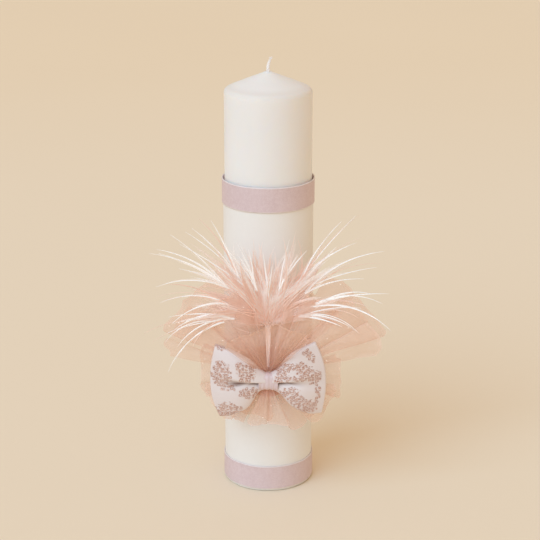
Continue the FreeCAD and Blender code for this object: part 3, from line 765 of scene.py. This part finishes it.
def fibreTree():
    # lines become thin tapered tubes, with short barbules along them
    net, into, keys = geometryTree("fibres", {
        "Step": "Float", "Sides": "Int", "Spacing": "Float", "Barbule": "Float",
        "Barbule Width": "Float", "Spread": "Float", "Seed": "Int", "Finish": "Material",
    })
    curve = net.add("GeometryNodeMeshToCurve", None, {0: into["Shape"]})
    curve = net.add("GeometryNodeCurveSplineType", {"spline_type": "CATMULL_ROM"}, {0: curve})
    curve = net.add("GeometryNodeResampleCurve", {"mode": "LENGTH"}, {"Curve": curve, "Length": into["Step"]})
    along = net.add("GeometryNodeSplineParameter")
    thick = net.add("GeometryNodeInputNamedAttribute", {"data_type": "FLOAT"}, {"Name": "thick"})
    fuzz = net.add("GeometryNodeInputNamedAttribute", {"data_type": "FLOAT"}, {"Name": "fuzz"})
    taper = 1.0 - 0.86 * along ** 2.5
    circle = net.add(
        "GeometryNodeCurvePrimitiveCircle", {"mode": "RADIUS"}, {"Resolution": into["Sides"], "Radius": 0.5}
    )
    tube = net.add(
        "GeometryNodeCurveToMesh", None,
        {"Curve": curve, "Profile Curve": circle, "Scale": thick * taper, "Fill Caps": True},
    )
    points = net.add(
        "GeometryNodeCurveToPoints", {"mode": "LENGTH"}, {"Curve": curve, "Length": into["Spacing"]}
    )
    tangent, normal = points.output("Tangent"), points.output("Normal")
    turned = net.add(
        "FunctionNodeRandomValue", {"data_type": "FLOAT"}, {2: 0.0, 3: 6.283, 8: into["Seed"]}, 1
    )
    sideways = net.add(
        "ShaderNodeVectorRotate", {"rotation_type": "AXIS_ANGLE"},
        {"Vector": normal, "Axis": tangent, "Angle": turned},
    )
    spread = net.add("ShaderNodeVectorMath", {"operation": "SCALE"}, {0: sideways, "Scale": into["Spread"]})
    lean = net.vectorMaths("ADD", tangent, spread)
    rotation = net.add("FunctionNodeAlignRotationToVector", {"axis": "Z"}, {"Vector": lean})
    length = net.add(
        "FunctionNodeRandomValue", {"data_type": "FLOAT"}, {2: 0.45, 3: 1.25, 8: into["Seed"] + 1.0}, 1
    )
    sliver = net.add(
        "GeometryNodeMeshCone", {"fill_type": "NONE"},
        {"Vertices": 3, "Side Segments": 1, "Radius Top": 0.0,
         "Radius Bottom": into["Barbule Width"], "Depth": into["Barbule"]},
    )
    barbules = net.add(
        "GeometryNodeInstanceOnPoints", None,
        {"Points": points, "Selection": fuzz > 0.02, "Instance": sliver, "Rotation": rotation,
         "Scale": length * fuzz * (1.0 - 0.5 * along ** 4.0)},
    )
    both = net.add("GeometryNodeJoinGeometry", None, {0: tube})
    net.tree.links.new(barbules.socket, both.socket.node.inputs[0])
    closeTree(net, both, into["Finish"])
    return net.tree, keys


fibres, fibreKeys = fibreTree()


def fibreMesh(
    name, strands, finish, step=1.6, sides=3, spacing=0.5, barbule=1.6, width=0.07, spread=0.7, seed=1
):
    # each strand is its points, its thickness in millimetres, its tint and its fuzz
    points, edges, thick, tint, fuzz = [], [], [], [], []
    for line, wide, shade, hair in strands:
        first = len(points)
        points += line
        edges += [(first + k, first + k + 1) for k in range(len(line) - 1)]
        thick += [wide * mm] * len(line)
        tint += list(np.linspace(shade[0], shade[1], len(line)))
        fuzz += [hair] * len(line)
    mesh = bpy.data.meshes.new(name + "Lines")
    mesh.from_pydata(points, edges, [])
    for label, values in (("thick", thick), ("tint", tint), ("fuzz", fuzz)):
        mesh.attributes.new(label, "FLOAT", "POINT").data.foreach_set("value", values)
    return grow(name, mesh, fibres, fibreKeys, {
        "Step": step * mm, "Sides": sides, "Spacing": spacing * mm, "Barbule": barbule * mm,
        "Barbule Width": width * mm, "Spread": spread, "Seed": seed, "Finish": finish,
    })


wickShape = {
    "line": ((0, 0, -1.5), (0, 0, 2.5), (0.1, 0, 4.5), (0.7, 0, 7), (1.7, 0, 9.2), (2.3, 0, 10.4)),
    "plies": 3,
    "plyRadius": 0.72,
    "plyThickness": 1.75,
    "turnsPerMm": 0.16,
}


def wickStrands():
    top = pillar["height"]
    rng = random.Random(5)
    line = [Vector(p) for p in wickShape["line"]]
    strands = []
    steps = 26

    for ply in range(wickShape["plies"]):
        route = []
        last = 1.0 if ply == 0 else 0.86 if ply == 1 else 0.95
        for k in range(steps):
            t = last * k / (steps - 1)
            turn = 2 * math.pi * (ply / wickShape["plies"] + t * 12 * wickShape["turnsPerMm"])
            flare = wickShape["plyRadius"] * (1 + 0.9 * smooth(0.8, 1.0, t))
            spot = along(line, t) + Vector((math.cos(turn), math.sin(turn), 0)) * flare
            route.append((spot.x * mm, spot.y * mm, top + spot.z * mm))
        strands.append((route, wickShape["plyThickness"], (0.1, 0.1), 0.25))
    for k in range(44):   # frayed ends, in two tufts
        base = along(line, 0.8 + 0.16 * rng.random())
        route = []
        way = Vector((rng.gauss(0.55 if k % 2 else -0.5, 0.3), rng.gauss(0, 0.4), 1.0))
        for step in range(4):
            spot = base + way * step * rng.uniform(0.3, 0.55)
            route.append((spot.x * mm, spot.y * mm, top + spot.z * mm))
        strands.append((route, 0.3, (0.1, 0.1), 0.0))
    return strands


wickBraid = addPiece(
    "wickBraid",
    fibreMesh("wickBraid", wickStrands(), finishes["wick_cotton"], step=0.3, sides=8, spacing=0.12,
              barbule=0.7, width=0.05, spread=1.2, seed=11),
    [finishes["wick_cotton"]], ["wick"],
)
print("wick made")


def feltMesh():
    # the felt disc lies on the wrap's curve
    low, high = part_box("rosette_felt")
    radius = (high.x - low.x) / 2
    middle = (high.z + low.z) / 2
    rings, around = 16, 72
    profile = [(k / rings, 1.5) for k in range(rings + 1)] + [(1.008, 0.8), (1.0, 0.05)]
    profile += [(k / rings, 0.05) for k in range(rings - 1, -1, -1)]

    def place(i, j):
        share, out = profile[i]
        turn = 2 * math.pi * j / around
        uneven = 0.006 * noise.noise(Vector((9 * math.cos(turn), 9 * math.sin(turn), 1)))
        spread = radius * share * (1 + uneven)
        x, z = spread * math.cos(turn), spread * math.sin(turn)
        fluff = 0.14 * noise.noise(Vector((x * 900, z * 900, 3))) if out > 1 else 0
        reach = wrapRadius + (0.8 + out + fluff) * mm
        return (x, -math.sqrt(reach * reach - x * x), middle + z)

    return gridMesh("feltDisc", len(profile), around + 1, place, merge=1e-6)


feltDisc = addPiece("feltDisc", feltMesh(), [finishes["felt"]], ["rosette_felt"])


def windings(centre, axis, wide, high, rows, pitch):
    # thread wound round and round, side by side
    route = []
    perTurn = 20
    for k in range(rows * perTurn + 1):
        turn = 2 * math.pi * k / perTurn
        shift = (k / perTurn - rows / 2) * pitch
        a, b = wide * math.cos(turn), high * math.sin(turn)
        spot = (a, shift, b) if axis == "y" else (shift, a, b)
        route.append(tuple(c + s * mm for c, s in zip(centre, spot)))
    return route


gatherLow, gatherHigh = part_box("gather_thread")
gatherMiddle = (gatherLow + gatherHigh) / 2
gatherTwine = addPiece(
    "gatherTwine",
    fibreMesh("gatherTwine", [(windings(gatherMiddle, "y", 6.25, 6.25, 3, 0.45), 0.5, (0, 0), 0)],
              finishes["thread"], step=0.7, sides=6),
    [finishes["thread"]], ["gather_thread"],
)
waistLow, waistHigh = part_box("bow_waist_binding")
waistMiddle = (waistLow + waistHigh) / 2
waistHalf = (waistHigh - waistLow) / 2 / mm
waistTwine = addPiece(
    "waistTwine",
    fibreMesh("waistTwine",
              [(windings(waistMiddle, "x", waistHalf.y - 0.25, waistHalf.z - 0.25, 5, 0.48), 0.5, (0, 0), 0)],
              finishes["thread"], step=0.7, sides=6),
    [finishes["thread"]], ["bow_waist_binding"],
)

tulle = {
    # direction and spread in degrees, reach in millimetres, number of folds
    "back": ((358, 40, 62, 3), (40, 42, 103, 4), (82, 42, 84, 4), (134, 44, 97, 4),
             (179, 50, 60, 3), (212, 44, 56, 3), (255, 42, 42, 3), (313, 46, 56, 3)),
    "mid": ((32, 36, 97, 4), (60, 38, 82, 4), (118, 38, 80, 4), (148, 36, 90, 4),
            (222, 44, 50, 3), (332, 42, 58, 3)),
    "front": ((72, 42, 57, 4), (112, 44, 53, 4), (270, 56, 38, 4)),
    "rootDepth": {"back": 3.9, "mid": 6.2, "front": 12.2},
    "tilt": {"back": 2.5, "mid": 8.0, "front": 29.0},
    "billow": {"back": 1.5, "mid": 5.0, "front": 6.5},
    "neck": 4.2,
    # each set of folds: how many across for one counted fold, and how strongly they turn the
    # cloth at the neck and at the edge; where the strengths pass 1 the cloth doubles back
    "waves": ((0.42, 0.45, 0.62), (0.9, 0.75, 0.42), (1.7, 0.75, 0.10), (3.3, 0.7, 0.0)),
    "foldDepth": {"back": 1.9, "mid": 3.2, "front": 3.6},
}


def petalMesh(name, layer, index, direction, spread, reach, folds):
    rng = random.Random(name)
    rows, columns = 44, 36 * folds + 1
    half = math.radians(spread) / 2
    aim = math.radians(direction)
    waves = [
        (math.pi * folds * many * rng.uniform(0.85, 1.15), rng.uniform(0, 6.28), rng.uniform(-1.2, 1.2),
         atNeck, atEdge)
        for many, atNeck, atEdge in tulle["waves"]
    ]
    drift = rng.uniform(0, 9)
    depthAt = tulle["rootDepth"][layer] + (0.7 if index % 2 else -0.5)
    tilt = math.tan(math.radians(tulle["tilt"][layer] + rng.uniform(-1.5, 1.5)))
    deep = tulle["foldDepth"][layer]

    def share(i):   # rows lie closer together at the cut edge
        return 1 - (1 - i / (rows - 1)) ** 1.15

    def folded(s, t):
        # how far the folds carry the cloth sideways and outwards, and how fast it still moves across
        sideways, outwards, slope = 0.0, 0.0, 1.0
        for often, phase, sway, atNeck, atEdge in waves:
            strength = atNeck + (atEdge - atNeck) * smooth(0.05, 0.75, s)
            angle = often * t + phase + sway * s
            sideways += strength * math.sin(angle) / often
            outwards += strength * math.cos(angle - 0.5) / often
            slope += strength * math.cos(angle)
        return sideways, outwards, slope

    def place(i, j):
        s, t = share(i), -1 + 2 * j / (columns - 1)
        sideways, outwards, slope = folded(s, t)
        inside = 1 - smooth(0.85, 1.0, abs(t)) * 0.8
        across = t + inside * sideways
        edge = reach * math.cos(half) / math.cos(min(abs(across), 1.1) * half * 0.98)
        edge *= 1 + 0.04 * noise.noise(Vector((t * 3 + index, direction * 0.1, 0)))
        edge *= 1 - 0.09 * smooth(0.72, 1.0, abs(t))
        radius = tulle["neck"] + (edge - tulle["neck"]) * s
        turn = aim + across * half * (0.93 + 0.07 * s)
        fold = deep * 5 * outwards * (0.3 + 0.7 * smooth(0.0, 0.3, s)) * inside
        crumple = noise.noise(Vector((radius * 0.05 + drift, across * 1.8, direction))) * 4.0 * s
        small = noise.noise(Vector((radius * 0.16, across * 6 + drift, direction)))
        crumple += small * 0.9 * smooth(0.1, 0.5, s)
        billow = tulle["billow"][layer] * math.sin(math.pi * min(1, s * 1.05)) * (1 - 0.5 * t * t)
        depth = depthAt + radius * tilt + billow + fold + crumple
        return onRosette(radius * math.cos(turn), radius * math.sin(turn), max(depth, 1.0))

    def flat(i, j):
        return ((-1 + 2 * j / (columns - 1)) * reach * half * 1.25 * mm, share(i) * reach * mm)

    def crease(i, j):
        # painted highlight, with more cover, where the cloth turns over and along the cut rim
        s, t = share(i), -1 + 2 * j / (columns - 1)
        turning = math.exp(-((folded(s, t)[2] / 0.2) ** 2)) * (0.4 + 0.6 * s)
        rim = 0.4
        return max(turning, rim) if i >= rows - 2 or j in (0, columns - 1) else turning

    # the neck mark: denser cloth near the neck, where the colour also gets painted shade
    def neck(i, j):
        return (1 - smooth(0.05, 0.7, share(i))) ** 1.3

    # painted shade in the folds' valleys, which also get a little more cover
    def valley(i, j):
        s, t = share(i), -1 + 2 * j / (columns - 1)
        return smooth(-0.02, 0.3, -folded(s, t)[1]) * (1 - 0.35 * s)

    return gridMesh(name, rows, columns, place, flat, {"crease": crease, "neck": neck, "valley": valley})


petals = []
for layer in ("back", "mid", "front"):
    for index, (direction, spread, reach, folds) in enumerate(tulle[layer]):
        name = f"{layer}Petal{index + 1}"
        mesh = petalMesh(name, layer, index, direction, spread, reach, folds)
        petal = addPiece(
            name, mesh, [finishes["tulle"]], [f"tulle_{layer}_petal_{index + 1}"]
        )
        # each petal is narrower towards the neck; its length in metres is worked out here but not used
        length = round(reach * mm, 3)
        petals.append(petal)


def gatherMesh():
    # the pinched middle: a short trumpet of close pleats
    low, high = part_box("tulle_gather")
    depthLow = -wrapRadius - high.y
    depthHigh = -wrapRadius - low.y
    rings, around = 18, 160

    def place(i, j):
        t = i / (rings - 1)
        turn = 2 * math.pi * j / around
        waist = 5.3 - 1.1 * math.sin(math.pi * t) + 0.5 * t
        if i == rings - 1:
            waist = 0.0
        pleat = 0.42 * math.cos(26 * turn + 2 * t) * (1 if i < rings - 2 else 0.3)
        radius = max(waist + pleat, 0) if waist else 0
        depth = (depthLow + (depthHigh - depthLow) * min(1, t * 1.06)) / mm
        return onRosette(radius * math.cos(turn), radius * math.sin(turn), depth)

    def flat(i, j):
        return (j / around * 0.12, i / rings * 0.014)

    return gridMesh(
        "bunchedTulle", rings, around + 1, place, flat,
        # the crease mark gives the pleats a painted highlight on their ridges; the neck mark gives the whole
        # gather the painted-shade colour and more cover
        {"crease": lambda i, j: 0.5 + 0.5 * math.cos(26 * 6.283 * j / around), "neck": lambda i, j: 1.0},
    )


bunchedTulle = addPiece("bunchedTulle", gatherMesh(), [finishes["tulle"]], ["tulle_gather"])
print("tulle made")


def glitterTree():
    # flakes scattered over cloth, each a tiny six-sided plate just off its face
    net, into, keys = geometryTree("glitter", {
        "Density": "Float", "Flake": "Float", "Lift": "Float", "Seed": "Int", "Finish": "Material",
    })
    points = net.add(
        "GeometryNodeDistributePointsOnFaces", {"distribute_method": "RANDOM"},
        {"Mesh": into["Shape"], "Density": into["Density"], "Seed": into["Seed"]},
    )
    normal, rotation = points.output("Normal"), points.output("Rotation")
    lift = net.add("ShaderNodeVectorMath", {"operation": "SCALE"}, {0: normal, "Scale": into["Lift"]})
    plate = net.add(
        "GeometryNodeMeshCircle", {"fill_type": "TRIANGLE_FAN"}, {"Vertices": 6, "Radius": into["Flake"]}
    )
    size = net.add("FunctionNodeRandomValue", {"data_type": "FLOAT"}, {2: 0.5, 3: 1.15, 8: into["Seed"]}, 1)
    moved = net.add("GeometryNodeSetPosition", None, {"Geometry": points, "Offset": lift})
    flakes = net.add(
        "GeometryNodeInstanceOnPoints", None,
        {"Points": moved, "Instance": plate, "Rotation": rotation, "Scale": size},
    )
    closeTree(net, flakes, into["Finish"])
    return net.tree, keys


def joinedMesh(name, parts):
    shell = bmesh.new()
    for part in parts:
        shell.from_mesh(part.data)
    mesh = bpy.data.meshes.new(name)
    shell.to_mesh(mesh)
    shell.free()
    return mesh


glitter, glitterKeys = glitterTree()
tulleGlitter = addPiece(
    "tulleGlitter",
    grow("tulleGlitter", joinedMesh("tulleFaces", petals), glitter, glitterKeys, {
        "Density": 2600.0, "Flake": 0.42 * mm, "Lift": -0.3 * mm, "Seed": 4, "Finish": finishes["glitter"],
    }),
    [finishes["glitter"]], (),
)
print("glitter flakes:", len(tulleGlitter.data.polygons) // 6)


plumes = {
    "fan": (0.0, 44.0, 8.0),   # where they fan from: across, up and out
    "down": {"locks": 21, "barbs": 15, "thickness": (0.26, 0.56), "length": (0.32, 0.84), "splay": 10,
             "fuzz": 0.4},
    # long barbs from each plume's outer half: spread and droop in degrees, thickness in millimetres,
    # reach in shares of the plume, and out as a start and a rise for each millimetre along
    "wisps": {"count": 5, "spread": 26, "droop": 44, "reach": (0.8, 1.06), "thickness": (0.5, 1.1),
              "white": 0.62, "fuzz": 0.6, "out": (13, 0.2)},
    "bolder": 1.45,            # how much thicker than given the long barbs are made
    # direction in degrees and length in millimetres from the fan's point
    "fans": ((20, 72), (28, 100), (45, 110), (58, 116), (74, 78), (90, 66),
             (106, 80), (118, 110), (133, 110), (148, 104), (165, 76), (172, 94)),
}


def lockOf(rng, guide, barbs, width, thickness, tint, fuzz):
    # barbs that start side by side and close up to a wisp at the tip
    strands = []
    for _ in range(barbs):
        aside = Vector((rng.gauss(0, 1), rng.gauss(0, 1), rng.gauss(0, 0.7))) * width
        stray = Vector((rng.gauss(0, 1), rng.gauss(0, 1), rng.gauss(0, 1))) * width * 0.9
        reach = rng.uniform(0.62, 1.0)
        line = []
        for k in range(7):
            t = k / 6
            spot = along(guide, t * reach) + aside * (1 - t) ** 0.7 + stray * t ** 3 * (1 - reach) * 3
            line.append(onRosette(*spot))
        strands.append((line, rng.uniform(*thickness), tint, fuzz * rng.uniform(0.5, 1.2)))
    return strands


def downStrands(number, direction, length):
    # locks of soft down that fan out from the shaft
    rng = random.Random(number * 17)
    down = plumes["down"]
    u0, v0, d0 = plumes["fan"]
    front = number % 2 == 0
    level = math.cos(math.radians(direction)) ** 2
    strands = []
    for _ in range(round(down["locks"] * (1.25 - 1.05 * level))):
        start = rng.uniform(3, 0.2 * length)
        lean = math.tan(math.radians(rng.uniform(6, 22 if front else 13)))
        size = length * rng.uniform(*down["length"]) * (1 - 0.5 * level)
        away = math.radians(direction + rng.gauss(0, 5))
        heading = away + math.radians(rng.gauss(0, down["splay"]))
        curl = math.radians(rng.gauss(0, 26))
        spot = Vector((u0 + start * math.cos(away), v0 + start * math.sin(away), d0 + start * lean))
        guide = [spot]
        for k in range(6):
            heading += curl / 6
            step = size / 6
            guide.append(guide[-1] + Vector((math.cos(heading), math.sin(heading), lean)) * step)
        pale = rng.random() < 0.3
        tint = (0.7, 0.0) if pale else (1.0, rng.uniform(0.2, 0.8))
        width = rng.uniform(1.2, 2.6)
        strands += lockOf(rng, guide, down["barbs"], width, down["thickness"], tint, down["fuzz"])
    return strands


def shaftStrand(number, direction, length):
    u0, v0, d0 = plumes["fan"]
    away = math.radians(direction)
    lean = math.tan(math.radians(10 if number % 2 == 0 else 7))
    line = []
    for k in range(6):
        reach = 3 + length * 0.55 * k / 5
        line.append(onRosette(u0 + reach * math.cos(away), v0 + reach * math.sin(away), d0 + reach * lean))
    return (line, 0.7, (0.5, 0.6), 0.8)


def wispStrands(number, direction, length):
    # barbs from the plume's outer half, fanned apart and hanging over away from the middle
    rng = random.Random(number * 31)
    wisps = plumes["wisps"]
    u0, v0, _ = plumes["fan"]
    near, slope = wisps["out"]
    away = math.radians(direction)
    routes = []
    for k in range(wisps["count"]):
        share = k / (wisps["count"] - 1) - 0.5
        start = length * rng.uniform(0.35, 0.5)
        size = length * rng.uniform(*wisps["reach"]) - start
        heading = away + math.radians(wisps["spread"] * share + rng.gauss(0, 3))
        droop = -math.cos(away) * math.radians(wisps["droop"] * rng.uniform(0.4, 1.6))
        spot = Vector((u0 + start * math.cos(away), v0 + start * math.sin(away), near + slope * start))
        route = [spot]
        for step in range(8):
            heading += droop / 8
            route.append(route[-1] + Vector((math.cos(heading), math.sin(heading), slope)) * size / 8)
        tint = rng.uniform(0, 0.1) if rng.random() < wisps["white"] else rng.uniform(0.8, 1.0)
        thick = rng.uniform(*wisps["thickness"]) * (1.0 if tint < 0.5 else 0.6)
        routes.append((tint, thick, wisps["fuzz"], route))
    return routes


for number, (direction, length) in enumerate(plumes["fans"], 1):
    strands = [shaftStrand(number, direction, length)]
    rng = random.Random(number)
    for tint, thickness, fuzz, route in wispStrands(number, direction, length):
        line = [onRosette(*point) for point in route]
        shade = (tint, max(0, tint - 0.1))
        strands.append((line, thickness * plumes["bolder"], shade, fuzz))
        if thickness > 0.45:   # finer barbs that cling to a thick one
            finer = (thickness * 0.35, thickness * 0.7)
            strands += lockOf(rng, route, 3, 0.8, finer, shade, fuzz)
    strands += downStrands(number, direction, length)
    name = f"plume{number}"
    mesh = fibreMesh(name, strands, finishes["feather"], step=2.2, spacing=0.5, barbule=1.5,
                     width=0.09, spread=0.55, seed=number)
    addPiece(name, mesh, [finishes["feather"]], [f"feather_{number}"])
    print(f"  {name}: {len(strands)} strands, {len(mesh.polygons)} faces")


def quillStrands():
    low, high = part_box("feather_quills")
    depth = -wrapRadius - (low.y + high.y) / 2
    u0, v0, d0 = plumes["fan"]
    strands = []
    for k in range(12):
        side = (k % 6 - 2.5) * 0.45
        row = 8.0 + (0.5 if k < 6 else -0.5)
        line = [
            onRosette(side * 0.6, 6.5, row), onRosette(side, 20, row),
            onRosette(side * 1.5, 34, row + 0.2), onRosette(u0 + side * 2.2, v0 + 4, d0 + 0.6),
        ]
        strands.append((line, 0.9, (0.3, 0.5), 0.0))
    return strands


quillBundle = addPiece(
    "quillBundle", fibreMesh("quillBundle", quillStrands(), finishes["feather"], step=2.0, sides=7),
    [finishes["feather"]], ["feather_quills"],
)
print("plumes made")

bow = {
    "start": 1.3,          # millimetres from the middle, inside the knot
    "depth": 22.15,        # out from the wrap
    "stations": 54,
    "around": 220,
    "thickness": ((0, 8.6), (0.22, 11.5), (0.55, 15.0), (0.8, 13.0), (1.0, 8.5)),
    "sweep": ((0, 0), (0.5, 0.6), (1.0, -2.0)),
    "left": {
        "top": ((0, 6.5), (0.17, 11.5), (0.26, 15.5), (0.5, 21.6), (0.75, 26.3), (1.0, 30.0)),
        "low": ((0, 6.5), (0.18, 9.4), (0.36, 20.0), (0.62, 26.5), (0.85, 30.0), (1.0, 31.0)),
        "reach": (40.6, 45.0, 37.6),
        "crease": ((0, -1.5), (0.5, 0.3), (1.0, 2.6)),
        "creaseDepth": ((0, 3.6), (0.3, 3.8), (0.6, 3.4), (0.8, 2.4), (0.92, 0.2), (1.0, 0.0)),
    },
    "right": {
        "top": ((0, 6.5), (0.19, 11.2), (0.34, 18.5), (0.55, 24.5), (0.8, 28.8), (1.0, 32.0)),
        "low": ((0, 6.5), (0.16, 9.4), (0.4, 19.5), (0.65, 25.8), (0.85, 28.2), (1.0, 28.0)),
        "reach": (36.2, 45.0, 41.5),
        "crease": ((0, -1.8), (0.3, 0.2), (1.0, 2.2)),
        "creaseDepth": ((0, 3.8), (0.3, 4.0), (0.6, 3.6), (0.85, 2.6), (0.97, 0.2), (1.0, 0.0)),
    },
    "puff": {"pressure": 3.0, "frames": 20, "cap": 0.9 * mm},
}


def loopMesh(hand):
    side = -1 if hand == "left" else 1
    shape = bow[hand]
    body, around = bow["stations"], bow["around"]
    cap = ((0.97, 0.35), (0.9, 0.75), (0.74, 1.05), (0.5, 1.2), (0.25, 1.27), (0.0, 1.3))
    rows = body + len(cap)
    topReach, midReach, lowReach = shape["reach"]
    rng = random.Random(hand)
    wrinkles = [(rng.uniform(0, 6.28), rng.uniform(5, 11)) for _ in range(3)]

    def ring(i):
        s = min(i / (body - 1), 1.0)
        flatten, extra = (1.0, 0.0) if i < body else cap[i - body]
        top = eased(s, *zip(*shape["top"]))
        low = eased(s, *zip(*shape["low"]))
        thick = eased(s, *zip(*bow["thickness"])) / 2
        power = 2.3 + 2.4 * smooth(0.1, 0.9, s)
        sweep = eased(s, *zip(*bow["sweep"]))
        points = []
        for j in range(around + 1):
            angle = 2 * math.pi * j / around + math.pi   # the seam lies at the back
            c, d = math.cos(angle), math.sin(angle)
            front = math.copysign(abs(c) ** (2 / power), c)
            high = math.copysign(abs(d) ** (2 / power), d)
            v = high * (top if high > 0 else low)
            lean = midReach + ((topReach if high > 0 else lowReach) - midReach) * high * high
            x = bow["start"] + (lean - bow["start"]) * s + extra
            crown = 1 - 0.3 * high * high * smooth(0.3, 1, s)
            out = front * thick * flatten * crown
            for start, count in wrinkles:
                out += 0.16 * math.cos(count * angle + start + 2 * s) * (1 - s) * smooth(0.05, 0.3, s)
            points.append((side * x, v, bow["depth"] + sweep + out))
        return points

    rings = [ring(i) for i in range(rows)]
    flats = []
    for points in rings:
        middle = around // 2
        lengths = [0.0] * (around + 1)
        for j in range(middle + 1, around + 1):
            lengths[j] = lengths[j - 1] + math.dist(points[j][1:], points[j - 1][1:])
        for j in range(middle - 1, -1, -1):
            lengths[j] = lengths[j + 1] - math.dist(points[j][1:], points[j + 1][1:])
        # angle runs so that later points are lower on one half, so the sign follows the height
        sign = 1 if points[around * 3 // 4][1] > 0 else -1
        flats.append([sign * value for value in lengths])

    def place(i, j):
        return onRosette(*rings[i][j])

    def flat(i, j):
        return (rings[i][j][0] * mm, flats[i][j] * mm)

    return gridMesh(f"{hand}Loop", rows, around + 1, place, flat, merge=1e-6, ends=(0,))


def pressCrease(mesh, hand):
    # the fold that runs out from the knot: the upper half of the loop laps over the lower, and the fold's
    # line is marked for painted shade
    shape = bow[hand]
    mesh.update()
    creaseShade = []
    for vertex in mesh.vertices:
        s = (abs(vertex.co.x) / mm - bow["start"]) / shape["reach"][1]
        gap = (vertex.co.z - rosetteUp) / mm - eased(s, *zip(*shape["crease"]))
        front = smooth(0.1, 0.6, -vertex.normal.y)
        deep = max(0.0, eased(s, *zip(*shape["creaseDepth"])))
        side = 0.7 if gap > 0 else 3.2
        # the crease mark, a painted shade along the fold's shadow line
        creaseShade.append(front * min(1.0, deep / 1.6) * math.exp(-(((gap + 0.25) / 0.75) ** 2)))
        press = front * deep * math.exp(-abs(gap) / side)
        lap = front * 1.5 * smooth(0.2, 1.3, gap) * math.exp(-abs(gap) / 6) * min(1.0, deep / 2)
        vertex.co.y += (press - lap) * mm
    mesh.attributes.new("crease", "FLOAT", "POINT").data.foreach_set("value", creaseShade)
    mesh.update()


def puffUp(piece, settings, held):
    # a short cloth simulation with air pressure inside; no point moves further than the cap
    mesh = piece.data
    before = np.array([vertex.co for vertex in mesh.vertices])
    group = piece.vertex_groups.new(name="held")
    for vertex in mesh.vertices:
        group.add([vertex.index], held(vertex.co), "REPLACE")
    modifier = piece.modifiers.new("puff", "CLOTH")
    cloth = modifier.settings
    cloth.quality = 6
    cloth.mass = 0.12
    cloth.tension_stiffness = 18
    cloth.compression_stiffness = 18
    cloth.shear_stiffness = 6
    cloth.bending_stiffness = 0.25
    cloth.use_pressure = True
    cloth.uniform_pressure_force = settings["pressure"]
    cloth.vertex_group_mass = "held"
    cloth.effector_weights.gravity = 0
    modifier.point_cache.frame_start = 1
    modifier.point_cache.frame_end = settings["frames"]
    for step in range(1, settings["frames"] + 1):
        bpy.context.scene.frame_set(step)
    graph = bpy.context.evaluated_depsgraph_get()
    after = np.array([vertex.co for vertex in piece.evaluated_get(graph).data.vertices])
    piece.modifiers.remove(modifier)
    piece.vertex_groups.remove(group)
    bpy.context.scene.frame_set(1)
    moved = after - before
    far = np.linalg.norm(moved, axis=1, keepdims=True)
    moved *= np.minimum(1, settings["cap"] / np.maximum(far, 1e-9))
    mesh.vertices.foreach_set("co", (before + moved).astype(np.float32).ravel())
    mesh.update()
    print(f"  {piece.name}: puffed, furthest {far.max() * 1000:.1f} mm before the cap")


def heldNearKnot(spot):
    return min(1.0, max(0.0, 1.25 - abs(spot.x) / (13 * mm)))


for hand in ("left", "right"):
    loop = addPiece(
        f"{hand}Loop", loopMesh(hand), [finishes["brocade"]],
        [f"bow_cover_{hand}", f"bow_wadding_{hand}"],
    )
    puffUp(loop, bow["puff"], heldNearKnot)
    pressCrease(loop.data, hand)
    refine(loop, 1)

knot = {   # millimetres
    "width": 15.4,
    "height": 7.6,      # half of its height
    "depth": 5.3,       # half of its depth
    "thickness": 0.9,
}


def knotMesh():
    # a satin strip round the bow's waist, its long edges turned under
    half, thick = knot["width"] / 2, knot["thickness"]
    across = 26
    outer = [(-half + knot["width"] * k / across, 0.0) for k in range(across + 1)]
    section = outer + [(half + 0.12, -0.35), (half - 0.1, -0.8), (half - 1.6, -thick), (0.0, -thick)]
    section += [(-half + 1.6, -thick), (-half + 0.1, -0.8), (-half - 0.12, -0.35), outer[0]]
    around = 110
    rng = random.Random(21)
    drift = [rng.uniform(0, 6.28) for _ in range(3)]

    def place(i, j):
        turn = 2 * math.pi * i / around
        x, inward = section[j]
        c, d = math.cos(turn), math.sin(turn)
        front = math.copysign(abs(c) ** 0.84, c)
        high = math.copysign(abs(d) ** 0.84, d)
        pinch = 0.55 * math.exp(-((x / 5.0) ** 2)) * abs(d) ** 3
        flare = 0.35 * smooth(0.55, 1.0, abs(x) / half) * (1 if inward > -0.5 else 0.4)
        crease = 0.2 * math.cos(2 * math.pi * x / 3.7 + drift[0] + 0.5 * math.sin(turn + drift[1]))
        crease *= 0.5 + 0.5 * abs(math.cos(turn + drift[2]))
        swell = inward + flare - pinch + (crease if inward > -0.1 else 0)
        tilt = -0.045 * x * (1 - 0.9 * smooth(-0.4, 0.4, d))
        return onRosette(
            x, (knot["height"] + swell) * high + tilt, bow["depth"] + 0.1 + (knot["depth"] + swell) * front
        )

    def flat(i, j):
        return (section[j][0] * mm, i / around * 0.042)

    return gridMesh("knotBand", around + 1, len(section), place, flat, merge=1e-6)


knotBand = addPiece("knotBand", knotMesh(), [finishes["knot_satin"]], ["bow_knot"])
refine(knotBand, 1)
print("bow made")
